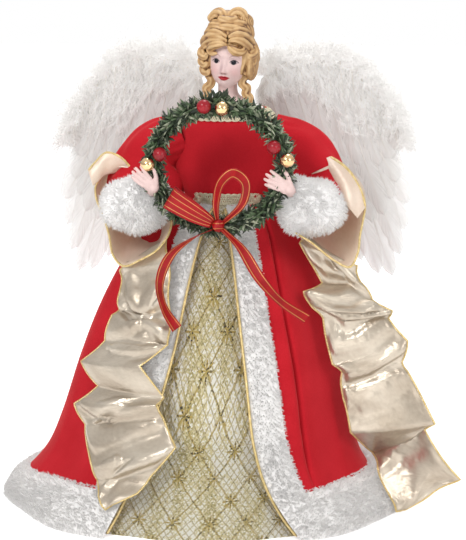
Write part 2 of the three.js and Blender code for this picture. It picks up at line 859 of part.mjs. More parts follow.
// Cascades: pleated satin strips between two edges, each point an angle from the front, a share of the way
// down the coat and a share of how far the strip stands off
const cascadeShares = {
  left: [
    [
      [-28, 0.2, 0.9],
      [-27, 0.36, 0.65],
      [-24, 0.52, 0.6],
      [-20, 0.66, 0.6],
      [-15, 0.8, 0.6],
      [-22, 0.97, 0.55],
    ],
    [
      [-64, 0.2, 1.1],
      [-66, 0.36, 0.65],
      [-62, 0.52, 0.6],
      [-54, 0.66, 0.6],
      [-42, 0.8, 0.6],
      [-34, 0.97, 0.55],
    ],
  ],
  right: [
    [
      [50, 0.22, 0.8],
      [60, 0.36, 0.5],
      [66, 0.52, 0.6],
      [69, 0.66, 0.6],
      [69, 0.8, 0.75],
      [67, 0.93, 0.7],
    ],
    [
      [66, 0.22, 2.6],
      [68, 0.36, 2.1],
      [70, 0.52, 2.6],
      [72, 0.66, 2.8],
      [73, 0.8, 3.1],
      [74, 0.93, 2.9],
    ],
  ],
};

function makeCascade([innerShares, outerShares], phase) {
  const rows = 22;
  const columns = 3;
  const edge = (shares) => new THREE.CatmullRomCurve3(shares.map((p) => point(...p)));
  const [inner, outer] = [edge(innerShares), edge(outerShares)];
  const flat = steps(rows).map((r) =>
    steps(columns).map((c) => {
      const p = inner.getPoint(r).lerp(outer.getPoint(r), c);
      return skirtPoint(degrees(p.x), p.y, foldDepth + cascadeStand * p.z, 0);
    }),
  );
  const lifted = offsetGrid(flat, -pleatDepth);
  const grid = flat.map((row, r) => {
    const share = r / rows;
    const swell = Math.min(1, 6 * share);
    const sideways = row[columns].clone().sub(row[0]).normalize();
    return row.map((p, c) => {
      const wave = Math.cos(turn * pleatCount * share + phase + c / columns);
      return p
        .clone()
        .lerp(lifted[r][c], (swell * (1 + wave)) / 2)
        .addScaledVector(sideways, pleatReach * swell * wave * (c / columns - 0.5));
    });
  });
  return sheet(grid, satinWall);
}

// Wings: drawn flat with x outwards and y up from the hinge, then swept back about it
const bodyBack = chestHalfDepth + bodiceOut;
const hingeRadius = wingWireRadius + seam + bracketTubeWall;
const hingeDepth = bodyBack + seam + bracketWall / 2 + hingeRadius;
const hingeHeight = shoulderHeight - necklineDrop - laceWidth - seam - bracketHeight / 2;

function wingPlace(side, geometry) {
  geometry.rotateX(Math.PI / 2);
  geometry.rotateZ(wingSweep);
  geometry.translate(hingeOffset, hingeDepth, hingeHeight);
  geometry.scale(side, 1, 1);
  return toSolid(geometry);
}

// A flat piece of the wing between two depths behind the hinge
function blade(side, shape, front, back) {
  const options = { depth: back - front, bevelEnabled: false, curveSegments: 3 };
  return wingPlace(side, new THREE.ExtrudeGeometry(shape, options).translate(0, 0, -back));
}

function featherShape(root, tip, width) {
  const run = tip.clone().sub(root);
  const across = new THREE.Vector2(-run.y, run.x).setLength(width);
  const at = (s, t) => root.clone().addScaledVector(run, s).addScaledVector(across, t).toArray();
  const shape = new THREE.Shape().moveTo(...at(0, 0.12));
  shape.bezierCurveTo(...at(0.2, 0.5), ...at(0.75, 0.62), ...at(1, 0.05));
  shape.lineTo(...at(1, -0.05));
  shape.bezierCurveTo(...at(0.75, -0.62), ...at(0.2, -0.5), ...at(0, -0.12));
  shape.closePath();
  return shape;
}

// Shares of the span outwards, and of the height above or the drop below the hinge
const wingEdgeShares = [
  [0.08, 0.7],
  [0.23, 0.95],
  [0.45, 1],
  [0.64, 0.86],
  [0.79, 0.5],
  [0.9, 0.1],
  [0.96, -0.3],
];
const wingTipShares = [
  [0.36, 0.42],
  [0.55, 0.68],
  [0.74, 0.9],
  [0.9, 1],
  [0.97, 0.78],
  [1, 0.5],
];
const wingEdge = new THREE.SplineCurve(
  wingEdgeShares.map(([x, y]) => new THREE.Vector2(x * wingSpan, y * wingTop)),
);
const wingTips = new THREE.SplineCurve(
  wingTipShares.map(([x, y]) => new THREE.Vector2(x * wingSpan, -y * wingDrop)),
);
const webShares = [
  [0.84, -0.35],
  [0.45, -0.25],
  [0.09, 0],
];

function flightFeathers(side, grow) {
  const half = featherWall / 2 + grow;
  const blades = steps(featherCount - 1).map((s, i) => {
    const root = wingEdge.getPoint(mix(0.04, 0.78, s)).multiplyScalar(0.86);
    const shape = featherShape(root, wingTips.getPoint(s), featherWidth + 2 * grow);
    const level = ((i % 2) - 0.5) * (featherWall / 2);
    return blade(side, shape, level - half, level + half);
  });
  const web = new THREE.Shape([
    ...wingEdge.getPoints(8),
    ...webShares.map(([x, y]) => new THREE.Vector2(x * wingSpan, y * wingDrop)),
  ]);
  return union([...blades, blade(side, web, -half, half)]);
}

const layerDepth = featherWall * 0.75 + seam; // from the hinge's plane to the layers before and behind

function covertFeathers(side, grow) {
  const blades = steps(covertCount - 1).map((s) => {
    const root = wingEdge.getPoint(mix(0.12, 0.72, s)).multiplyScalar(0.8);
    const tip = root.clone().lerp(wingTips.getPoint(s), 0.56);
    const shape = featherShape(root, tip, covertWidthShare * wingSpan + 2 * grow);
    return blade(side, shape, -layerDepth - featherWall - grow, -layerDepth + grow);
  });
  return union(blades);
}

function fluffSolid(side) {
  const edge = steps(8).map((s) => wingEdge.getPoint(mix(0.02, 0.98, s)));
  const path = new THREE.CatmullRomCurve3(edge.map((p) => point(p.x, p.y, 0)));
  const section = new THREE.Shape().absellipse(0, 0, fluffRadius, fluffRadius * 0.8, 0, turn, false);
  const options = { extrudePath: path, steps: 10, curveSegments: 4, bevelEnabled: false };
  return wingPlace(side, new THREE.ExtrudeGeometry(section, options));
}

const backingShares = [
  [0.09, -0.5],
  [0.09, 0.45],
  [0.25, 0.8],
  [0.42, 0.82],
  [0.58, 0.6],
  [0.6, 0.1],
  [0.4, -0.5],
];

function makeBacking(side) {
  const outline = backingShares.map(([x, y]) => new THREE.Vector2(x * wingSpan, y * wingTop));
  return blade(side, new THREE.Shape(outline), layerDepth, layerDepth + feltWall);
}

function makeWingWire(side) {
  const depth = -layerDepth - feltWall - seam - wingWireRadius;
  const leg = bracketHeight / 2 + wingWireRadius + seam;
  const corners = [
    point(0, -leg, 0),
    point(0, leg, 0),
    point(hingeRadius, leg, depth),
    point(wingSpan * 0.18, leg, depth),
    point(wingSpan * 0.5, wingTop * 0.45, depth),
  ];
  return union(
    corners.slice(1).map((to, i) => wingPlace(side, capsuleGeometry(corners[i], to, wingWireRadius))),
  );
}

// Bracket on the back: a plate and two upright tubes that the wing wires turn in
function makeBracket() {
  const plate = new THREE.BoxGeometry(2 * (hingeOffset + hingeRadius), bracketWall, bracketHeight);
  plate.translate(0, bodyBack + seam + bracketWall / 2, hingeHeight);
  const tubes = (radius, height) =>
    [-1, 1].map((side) => {
      const geometry = new THREE.CylinderGeometry(radius, radius, height, 12).rotateX(Math.PI / 2);
      return toSolid(geometry.translate(side * hingeOffset, hingeDepth, hingeHeight));
    });
  const body = union([toSolid(plate), ...tubes(hingeRadius, bracketHeight)]);
  return cut(body, ...tubes(wingWireRadius + seam, bracketHeight + 2 * overrun));
}

// Finishes
const finish = (color, roughness, metalness = 0) =>
  new THREE.MeshStandardMaterial({ color, roughness, metalness });
const velvet = finish(0xb01820, 0.9);
const brocade = finish(0xc9b56a, 0.45, 0.4);
const satin = finish(0xe2d3bb, 0.3);
const fur = finish(0xf2f2f2, 1);
const lace = finish(0xc8b978, 0.5, 0.4);
const skin = finish(0xeccfd0, 0.35);
const hairPaint = finish(0xd0a050, 0.5);
const garlandGreen = finish(0x2f5a3c, 0.7);
const berryRed = finish(0xa01020, 0.3);
const ornamentGold = finish(0xd8b060, 0.2, 0.9);
const organza = finish(0xc81820, 0.4);
const feather = finish(0xf4f0ec, 0.8);
const steel = finish(0x9a9a9a, 0.4, 0.9);
const card = finish(0xb89a70, 0.9);
const foam = finish(0xf0f0ea, 0.9);
const wood = finish(0xc8a878, 0.7);
const felt = finish(0xf6f6f2, 1);
const plastic = finish(0xf0f0f0, 0.5);

const angel = new THREE.Group();
function add(name, solid, material) {
  const mesh = new THREE.Mesh(toGeometry(solid), material);
  mesh.name = name;
  angel.add(mesh);
}
const sides = { left: -1, right: 1 };
const words = Object.keys(sides);
const forSides = (make) => words.map((word) => make(sides[word]));

// Inside, head and hair
const laceIn = bodiceOut + seam;
const laceOut = laceIn + laceWall;
const dowelBore = dowelSolid(seam);
const wireBores = forSides((side) => armWire(side, seam));
const sleeveCutters = forSides((side) => armLimb(side, seam, seam));
add("tree_cone", makeCone(), card);
add("body_form", cut(bodySolid(0).add(makePlug()), dowelBore, ...wireBores), foam);
add("neck_dowel", dowelSolid(0), wood);
add("head_bust", cut(bustSolid(0).add(headSolid(0)), dowelBore), skin);
const hair = cut(makeHair(), bustSolid(seam), headSolid(seam), bodySolid(laceOut + seam));
add("hair", hair, hairPaint);

// Bodice and gold lace
const bodiceBottom = waistHeight + seam;
const neckline = shoulderHeight - necklineDrop;
add("bodice", cut(bodyShell(bodiceBottom, neckline, seam, bodiceOut), ...wireBores), velvet);
add("waist_lace", bodyShell(bodiceBottom, bodiceBottom + laceWidth, laceIn, laceOut), lace);
const neckLace = bodyShell(neckline - laceWidth, neckline, laceIn, laceOut);
add("neckline_lace", cut(neckLace, ...sleeveCutters), lace);

// Skirts and their fur
const coatShell = between(cloth(coatLayer(0), coatLayer(-velvetWall), true), coatLift, waistHeight);
const coatEnvelope = loft(coatLayer(seam));
add("brocade_front", makeGore(goreSeams[3] - turn, goreSeams[0]), brocade);
add("brocade_right", makeGore(goreSeams[0], goreSeams[1]), brocade);
add("brocade_back", makeGore(goreSeams[1], goreSeams[2]), brocade);
add("brocade_left", makeGore(goreSeams[2], goreSeams[3]), brocade);
for (const [word, [from, to]] of Object.entries(coatSeams)) {
  add(`coat_${word}`, coatShell.intersect(sector(from, to)), velvet);
  add(`hem_fur_${word}`, cut(makeHemFur(from, to), coatEnvelope), fur);
}
const waistCutter = bodySolid(laceOut + seam);
words.forEach((word) => {
  add(`front_fur_${word}`, cut(makeFrontFur(sides[word]), coatEnvelope, waistCutter), fur);
});

// Wreath and bow
const ring = ringSolid(seam);
add("wreath_garland", makeGarland(), garlandGreen);
ornaments.forEach(({ name, centre, radius }) => {
  add(name, ball(centre, even(radius), 8, 6), name.startsWith("berry") ? berryRed : ornamentGold);
});
const knotCutter = ball(knotCentre, even(knotRadius + seam));
add("bow_knot", cut(ball(knotCentre, even(knotRadius)), ring), organza);
add("bow_loop_left", cut(makeLoopLeft(), knotCutter), organza);
add("bow_loop_right", cut(makeLoopRight(), knotCutter), organza);
const tailLeft = makeTail(bowShares.tailLeft, (s) => [mix(0.3, 0.9, s), -0.5, mix(1, 0.3, s)]);
const tailRight = makeTail(bowShares.tailRight, (s) => [mix(0.2, 0.6, s), -0.3, mix(1, 0.8, s)]);
add("bow_tail_left", cut(tailLeft, knotCutter), organza);
add("bow_tail_right", cut(tailRight, knotCutter), organza);

// Arms, with the cascades that hang from their bells
const bodyCutter = bodySolid(laceIn);
words.forEach((word, i) => {
  const side = sides[word];
  const sleeve = armLimb(side, 0).subtract(armLimb(side, -velvetWall, overrun));
  const padding = armLimb(side, -velvetWall - seam, -seam);
  const cuffCutter = cuffSolid(side, seam);
  const bell = cloth(bellLayer(side, satinWall), bellLayer(side, 0), true);
  const cascade = makeCascade(cascadeShares[word], i);
  add(`arm_wire_${word}`, armWire(side), steel);
  add(`arm_padding_${word}`, cut(padding, bodyCutter, wireBores[i]), felt);
  add(`sleeve_${word}`, cut(sleeve, bodyCutter), velvet);
  add(`cuff_${word}`, cut(cuffSolid(side, 0), armLimb(side, seam, overrun)), fur);
  add(`hand_${word}`, cut(makeHand(side), ring, wireBores[i], sleeveCutters[i]), skin);
  add(`satin_bell_${word}`, cut(bell, cuffCutter, sleeveCutters[i], coatEnvelope), satin);
  add(`cascade_${word}`, cut(cascade, cuffCutter, loft(bellLayer(side, satinWall + seam))), satin);
});

// Wings
add("wing_bracket", cut(makeBracket(), bodySolid(bodiceOut + seam)), plastic);
words.forEach((word) => {
  const side = sides[word];
  add(`wing_feathers_${word}`, flightFeathers(side, 0), feather);
  add(`wing_coverts_${word}`, covertFeathers(side, 0), feather);
  const fluff = cut(fluffSolid(side), flightFeathers(side, seam), covertFeathers(side, seam));
  add(`wing_fluff_${word}`, fluff, feather);
  add(`wing_backing_${word}`, makeBacking(side), felt);
  add(`wing_wire_${word}`, makeWingWire(side), steel);
});

export default angel;
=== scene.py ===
import math
import random

import bmesh
import bpy
from mathutils import Matrix, Vector, noise


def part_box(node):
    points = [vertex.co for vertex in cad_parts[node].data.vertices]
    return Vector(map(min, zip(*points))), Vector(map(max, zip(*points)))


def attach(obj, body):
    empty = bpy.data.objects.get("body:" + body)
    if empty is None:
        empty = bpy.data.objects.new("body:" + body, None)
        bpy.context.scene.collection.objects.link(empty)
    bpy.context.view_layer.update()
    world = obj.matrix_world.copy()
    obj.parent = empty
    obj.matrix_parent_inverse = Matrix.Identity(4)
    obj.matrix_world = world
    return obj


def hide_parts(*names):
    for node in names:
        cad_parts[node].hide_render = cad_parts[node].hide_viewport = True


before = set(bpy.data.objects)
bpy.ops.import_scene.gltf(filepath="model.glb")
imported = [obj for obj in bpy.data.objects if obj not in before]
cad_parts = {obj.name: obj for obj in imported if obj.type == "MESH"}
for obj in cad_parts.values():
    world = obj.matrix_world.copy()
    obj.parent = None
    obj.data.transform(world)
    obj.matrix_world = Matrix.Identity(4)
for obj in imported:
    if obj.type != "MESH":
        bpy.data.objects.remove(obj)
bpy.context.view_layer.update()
scene = bpy.context.scene
scene.view_settings.view_transform = "Standard"
turn = 2 * math.pi
mm = 0.001  # shapes are worked out in millimetres and made in metres
rad = math.radians
sides = {"left": -1, "right": 1}


def meshOf(name, bm):
    made = bpy.data.meshes.new(name)
    bm.to_mesh(made)
    bm.free()
    return made


def addObject(name, data, place=None, facing=None):
    made = bpy.data.objects.new(name, data)
    scene.collection.objects.link(made)
    if facing:
        made.location = place
        made.rotation_mode = "QUATERNION"
        made.rotation_quaternion = facing.to_track_quat("-Z", "Y")
    return made


# The camera looks from where the photograph was taken
cameraSettings = {
    "azimuth": 5,
    "elevation": 10,
    "distance": 1.524,
    "target": (0, 0, 0.203),
    "lens": 122.9,
    "shift": (0.0093, -0.0304),
}


def makeCamera(s):
    a, e = rad(s["azimuth"]), rad(s["elevation"])
    back = Vector((math.sin(a) * math.cos(e), -math.cos(a) * math.cos(e), math.sin(e)))
    data = bpy.data.cameras.new("camera")
    data.lens, data.sensor_width = s["lens"], 36
    data.shift_x, data.shift_y = s["shift"]
    scene.camera = addObject("camera", data, Vector(s["target"]) + back * s["distance"], -back)


makeCamera(cameraSettings)


# Nodes: values, noise and groups
def addNode(tree, kind, inputs=None, **settings):
    made = tree.nodes.new("ShaderNode" + kind)
    for key, value in settings.items():
        setattr(made, key, value)
    for key, value in (inputs or {}).items():
        if isinstance(value, bpy.types.NodeSocket):
            tree.links.new(value, made.inputs[key])
        else:
            made.inputs[key].default_value = value
    return made


def calc(tree, operation, a, b=0.0, clamp=False):
    return addNode(tree, "Math", {0: a, 1: b}, operation=operation, use_clamp=clamp).outputs[0]


def remap(tree, value, low, high, to=(0.0, 1.0), kind="LINEAR"):
    inputs = {"Value": value, "From Min": low, "From Max": high, "To Min": to[0], "To Max": to[1]}
    return addNode(tree, "MapRange", inputs, interpolation_type=kind).outputs["Result"]


def noiseAt(tree, where, scale, detail=3.0):
    return addNode(tree, "TexNoise", {"Vector": where, "Scale": scale, "Detail": detail}).outputs["Fac"]


def rampOf(tree, factor, stops):
    made = addNode(tree, "ValToRGB", {"Fac": factor})
    ramp = made.color_ramp
    while len(ramp.elements) < len(stops):
        ramp.elements.new(0.5)
    for element, (place, colour) in zip(ramp.elements, stops):
        element.position = place
        element.color = (*colour, 1)
    return made.outputs["Color"]


def newGroup(name, inputs, output):
    tree = bpy.data.node_groups.new(name, "ShaderNodeTree")
    for label, kind, value in inputs:
        socket = tree.interface.new_socket(label, in_out="INPUT", socket_type="NodeSocket" + kind)
        if value is not None:
            socket.default_value = value
    tree.interface.new_socket(output, in_out="OUTPUT", socket_type="NodeSocketFloat")
    return tree, tree.nodes.new("NodeGroupInput").outputs, tree.nodes.new("NodeGroupOutput").inputs[output]


# Uneven colour: a mask from broad and fine noise
mottleTree, mottleIn, mottleOut = newGroup(
    "mottle",
    [("Vector", "Vector", None), ("Broad", "Float", 40.0), ("Fine", "Float", 400.0), ("Share", "Float", 0.4)],
    "Mask",
)
broadNoise = noiseAt(mottleTree, mottleIn["Vector"], mottleIn["Broad"], 2.0)
fineNoise = noiseAt(mottleTree, mottleIn["Vector"], mottleIn["Fine"])
mixedNoise = addNode(mottleTree, "Mix", {0: mottleIn["Share"], 2: broadNoise, 3: fineNoise})
mottleTree.links.new(remap(mottleTree, mixedNoise.outputs[0], 0.32, 0.68), mottleOut)

# Plain weave on UVs in millimetres: height of the threads
weaveTree, weaveIn, weaveOut = newGroup("weave", [("Vector", "Vector", None), ("Pitch", "Float", 0.5)], "Height")
weaveSplit = addNode(weaveTree, "SeparateXYZ", {0: weaveIn["Vector"]}).outputs
weaveWaves = [
    calc(weaveTree, "SINE", calc(weaveTree, "MULTIPLY", calc(weaveTree, "DIVIDE", way, weaveIn["Pitch"]), math.pi))
    for way in weaveSplit[:2]
]
weaveOver = calc(weaveTree, "MULTIPLY", *weaveWaves)
weaveTree.links.new(calc(weaveTree, "MULTIPLY_ADD", weaveOver, 0.5), weaveOut)


def startMaterial(name, sockets):
    made = bpy.data.materials.new(name)
    made.use_nodes = True
    tree = made.node_tree
    shader = tree.nodes["Principled BSDF"]
    for key, value in sockets.items():
        shader.inputs[key].default_value = value
    return made, tree, shader, tree.nodes.new("ShaderNodeTexCoord").outputs


def mottleInto(tree, shader, where, f):
    # The colour wanders between the finish's two
    inputs = {"Vector": where, "Broad": f["broad"], "Fine": f["fine"], "Share": f["share"]}
    mask = addNode(tree, "Group", inputs, node_tree=mottleTree).outputs["Mask"]
    tree.links.new(rampOf(tree, mask, [(0, f["low"]), (1, f["high"])]), shader.inputs["Base Color"])


def threadsAt(tree, cloth, pitch):
    return addNode(tree, "Group", {"Vector": cloth, "Pitch": pitch}, node_tree=weaveTree).outputs["Height"]


def bumpInto(tree, shader, height, strength, distance):
    made = addNode(tree, "Bump", {"Height": height, "Strength": strength, "Distance": distance})
    tree.links.new(made.outputs["Normal"], shader.inputs["Normal"])


def letThrough(tree, shader, share):
    # Thin stuff: part of the light comes through from behind
    surface = tree.nodes["Material Output"].inputs["Surface"]
    colour = shader.inputs["Base Color"].links[0].from_socket
    through = addNode(tree, "BsdfTranslucent", {"Color": colour})
    both = addNode(tree, "MixShader", {0: share, 1: shader.outputs[0], 2: through.outputs[0]})
    tree.links.new(both.outputs[0], surface)
    if shader.inputs["Alpha"].links:
        clearAway = addNode(tree, "BsdfTransparent").outputs[0]
        alpha = shader.inputs["Alpha"].links[0]
        seen = addNode(tree, "MixShader", {0: alpha.from_socket, 1: clearAway, 2: both.outputs[0]})
        tree.links.remove(alpha)
        tree.links.new(seen.outputs[0], surface)


# Cloth, fur, felt and the like. Each has two colours to wander between, how broad and how fine the change is and the
# share of the fine one, then the grain's strength, scale and depth, and the shader's own values
softWords = ("low", "high", "broad", "fine", "share", "bump", "grain", "depth", "sockets")
softFinishes = {
    "velvetRed": ((0.42, 0.008, 0.015), (0.53, 0.015, 0.025), 30, 900, 0.4, 0.35, 2600, 0.0004,
                  {"Roughness": 0.92, "Sheen Weight": 0.45, "Sheen Roughness": 0.35,
                   "Sheen Tint": (1.0, 0.28, 0.25, 1), "Specular IOR Level": 0.15}),
    "furWhite": ((0.76, 0.745, 0.735), (0.84, 0.825, 0.81), 90, 700, 0.5, 0.2, 900, 0.0003,
                 {"Roughness": 0.95, "Sheen Weight": 0.3, "Sheen Roughness": 0.5}),
    # The cuffs' fur is the same white fur, painted lighter for the light among its hairs
    "cuffFurPaintedLighter": ((0.85, 0.835, 0.825), (0.92, 0.905, 0.895), 90, 700, 0.5, 0.2, 900, 0.0003,
                  {"Roughness": 0.95, "Sheen Weight": 0.3, "Sheen Roughness": 0.5}),
    "featherWhite": ((0.93, 0.915, 0.895), (0.99, 0.98, 0.965), 60, 500, 0.5, 0.15, 3000, 0.0002,
                     {"Roughness": 0.7, "Sheen Weight": 0.35, "Sheen Roughness": 0.4}),
    "shaftIvory": ((0.80, 0.77, 0.71), (0.92, 0.90, 0.86), 80, 900, 0.3, 0.1, 2500, 0.0001, {"Roughness": 0.4}),
    "feltWhite": ((0.72, 0.71, 0.69), (0.86, 0.855, 0.84), 70, 900, 0.6, 0.5, 1500, 0.0004,
                  {"Roughness": 1.0, "Sheen Weight": 0.25, "Sheen Roughness": 0.6}),
    "foamWhite": ((0.76, 0.76, 0.73), (0.86, 0.86, 0.84), 60, 500, 0.7, 0.6, 500, 0.0006, {"Roughness": 0.85}),
    "cardBrown": ((0.36, 0.25, 0.14), (0.50, 0.37, 0.23), 50, 1200, 0.5, 0.3, 1600, 0.0002, {"Roughness": 0.9}),
    "woodPlain": ((0.46, 0.31, 0.16), (0.62, 0.45, 0.27), 90, 700, 0.5, 0.3, 1200, 0.0002, {"Roughness": 0.6}),
    "plasticWhite": ((0.78, 0.78, 0.77), (0.84, 0.84, 0.83), 40, 1500, 0.3, 0.1, 2500, 0.0001, {"Roughness": 0.45}),
    "steelWire": ((0.42, 0.42, 0.43), (0.60, 0.60, 0.60), 120, 1800, 0.5, 0.1, 3000, 0.00005,
                  {"Roughness": 0.35, "Metallic": 0.95}),
    "goldBall": ((0.78, 0.50, 0.24), (0.90, 0.66, 0.36), 60, 900, 0.2, 0.03, 1500, 0.00005,
                 {"Roughness": 0.14, "Metallic": 1.0, "Coat Weight": 0.6, "Coat Roughness": 0.05}),
    "berryRed": ((0.17, 0.002, 0.008), (0.38, 0.005, 0.014), 90, 900, 0.4, 0.12, 1400, 0.0001,
                 {"Roughness": 0.3, "Specular IOR Level": 0.35, "Coat Weight": 0.12, "Coat Roughness": 0.05}),
    "needleDark": ((0.010, 0.018, 0.010), (0.040, 0.060, 0.030), 90, 700, 0.5, 0.2, 2200, 0.0001, {"Roughness": 0.5}),
    "needleMid": ((0.050, 0.085, 0.040), (0.13, 0.19, 0.095), 90, 700, 0.5, 0.2, 2200, 0.0001, {"Roughness": 0.5}),
    "needlePale": ((0.20, 0.24, 0.15), (0.44, 0.46, 0.34), 90, 700, 0.5, 0.2, 2200, 0.0001, {"Roughness": 0.5}),
}
# Stands for the light that bounces on among fine white hairs
glows = {"furWhite": 0.05, "cuffFurPaintedLighter": 0.06, "featherWhite": 0.12}


def softMaterial(name):
    f = dict(zip(softWords, softFinishes[name]))
    made, tree, shader, where = startMaterial(name, f["sockets"])
    mottleInto(tree, shader, where["Object"], f)
    bumpInto(tree, shader, noiseAt(tree, where["Object"], f["grain"]), f["bump"], f["depth"])
    if name in glows:
        shader.inputs["Emission Color"].default_value = (*f["high"], 1)
        shader.inputs["Emission Strength"].default_value = glows[name]
    return made


looks = {name: softMaterial(name) for name in softFinishes}

# Cloth whose threads show: satin, organza, gold thread and lace follow their own UVs in millimetres
clothFinishes = {
    "satinLining": dict(low=(0.82, 0.68, 0.55), high=(0.97, 0.87, 0.76), broad=0.03, fine=0.4, share=0.25,
                        pitch=0.35, bump=0.2, depth=0.00012, crumple=(0.07, 20.0), through=0.45,
                        sockets={"Roughness": 0.34, "Metallic": 0.2, "Sheen Weight": 0.3,
                                 "Sheen Roughness": 0.35, "Specular IOR Level": 0.6}),
    "satinChampagne": dict(low=(0.47, 0.39, 0.30), high=(0.71, 0.63, 0.52), broad=0.03, fine=0.4, share=0.25,
                           pitch=0.35, bump=0.22, depth=0.00012, crumple=(0.09, 26.0), through=0.14,
                           sockets={"Roughness": 0.31, "Metallic": 0.7, "Sheen Weight": 0.2,
                                    "Sheen Roughness": 0.35, "Specular IOR Level": 0.6}),
    "organzaRed": dict(low=(0.25, 0.001, 0.003), high=(0.43, 0.003, 0.006), broad=0.08, fine=0.7, share=0.4,
                       pitch=0.45, bump=0.3, depth=0.00015, alpha=(0.95, 1.0),
                       lines={"pitch": 4.8, "half": 0.06, "colour": (0.62, 0.30, 0.10)},
                       sockets={"Roughness": 0.42, "Specular IOR Level": 0.3}),
    "goldThread": dict(low=(0.55, 0.38, 0.12), high=(0.95, 0.78, 0.42), broad=0.3, fine=2.0, share=0.5,
                       pitch=0.7, bump=0.9, depth=0.0004,
                       sockets={"Roughness": 0.36, "Metallic": 0.75}),
    "laceGold": dict(low=(0.42, 0.36, 0.20), high=(0.98, 0.93, 0.74), broad=0.4, fine=2.0, share=0.6,
                     pitch=0.6, bump=0.8, depth=0.0003, sockets={"Roughness": 0.4, "Metallic": 0.4}),
}


def clothMaterial(name):
    f = clothFinishes[name]
    made, tree, shader, where = startMaterial(name, f["sockets"])
    cloth = where["UV"]
    mottleInto(tree, shader, cloth, f)
    threads = threadsAt(tree, cloth, f["pitch"])
    bumpInto(tree, shader, threads, f["bump"], f["depth"])
    if "lines" in f:
        lines = f["lines"]
        along = addNode(tree, "SeparateXYZ", {0: cloth}).outputs[0]
        place = calc(tree, "FRACT", calc(tree, "DIVIDE", along, lines["pitch"]))
        off = calc(tree, "ABSOLUTE", calc(tree, "SUBTRACT", place, 0.5))
        line = remap(tree, off, lines["half"], lines["half"] * 0.6)
        plain = shader.inputs["Base Color"].links[0].from_socket
        both = addNode(tree, "Mix", {0: line, 6: plain, 7: (*lines["colour"], 1)}, data_type="RGBA")
        tree.links.new(both.outputs[2], shader.inputs["Base Color"])
        tree.links.new(calc(tree, "MULTIPLY", line, 0.6), shader.inputs["Metallic"])
    if "crumple" in f:
        # Soft creases of pressed satin, a few millimetres apart
        scale, amount = f["crumple"]
        creases = addNode(tree, "TexNoise", {"Vector": cloth, "Scale": scale, "Detail": 2.0, "Distortion": 1.2})
        height = calc(tree, "ADD", threads, calc(tree, "MULTIPLY", creases.outputs["Fac"], amount))
        tree.links.new(height, shader.inputs["Normal"].links[0].from_node.inputs["Height"])
    if "alpha" in f:
        tree.links.new(remap(tree, threads, -0.3, 0.3, f["alpha"]), shader.inputs["Alpha"])
    if "through" in f:
        letThrough(tree, shader, f["through"])
    return made


looks.update({name: clothMaterial(name) for name in clothFinishes})

# Feather vane: barbs run out from the shaft at a slant, and part towards the edge
vaneSettings = {
    "low": (0.86, 0.85, 0.83),
    "high": (0.93, 0.92, 0.905),
    "pitch": 0.9,
    "slant": 1.3,
    "sheer": 0.32,
    "through": 0.35,
}


def vaneMaterial(s):
    sockets = {"Roughness": 0.6, "Sheen Weight": 0.3, "Sheen Roughness": 0.4}
    made, tree, shader, where = startMaterial("featherVane", sockets)
    split = addNode(tree, "SeparateXYZ", {0: where["UV"]})
    out = calc(tree, "ABSOLUTE", split.outputs[0])
    barb = calc(tree, "SUBTRACT", split.outputs[1], calc(tree, "MULTIPLY", out, s["slant"]))
    streakPlace = addNode(tree, "CombineXYZ", {0: calc(tree, "MULTIPLY", split.outputs[0], 0.05), 1: barb})
    spread = remap(tree, noiseAt(tree, streakPlace.outputs[0], 1.3), 0.35, 0.65)
    tree.links.new(rampOf(tree, spread, [(0, s["low"]), (1, s["high"])]), shader.inputs["Base Color"])
    fine = calc(tree, "SINE", calc(tree, "MULTIPLY", barb, turn / s["pitch"]))
    thin = calc(tree, "MULTIPLY", remap(tree, out, 2.0, 13.0), calc(tree, "SUBTRACT", 1.0, spread))
    seen = calc(tree, "SUBTRACT", 0.96, calc(tree, "MULTIPLY", thin, s["sheer"] * 1.4))
    tree.links.new(seen, shader.inputs["Alpha"])
    bumpInto(tree, shader, calc(tree, "ADD", fine, spread), 0.25, 0.00015)
    letThrough(tree, shader, s["through"])
    return made


looks["featherVane"] = vaneMaterial(vaneSettings)

# Brocade: a trellis of diamonds with an eight petalled star where the lines cross
brocadeSettings = {
    "trellis": (6.4, 9.0),
    "stars": (31.0, 45.0),
    "line": 0.11,
    "sway": 0.9,
    "arms": 8.0,
    "paintedSheenRange": (-0.18, 0.38),
    "reach": (4.2, 3.6),
    "ground": (0.76, 0.67, 0.38),
    "ivory": (0.99, 0.97, 0.88),
    "olive": (0.47, 0.40, 0.17),
    "gold": (0.56, 0.42, 0.12),
    "dark": (0.03, 0.02, 0.006),
}


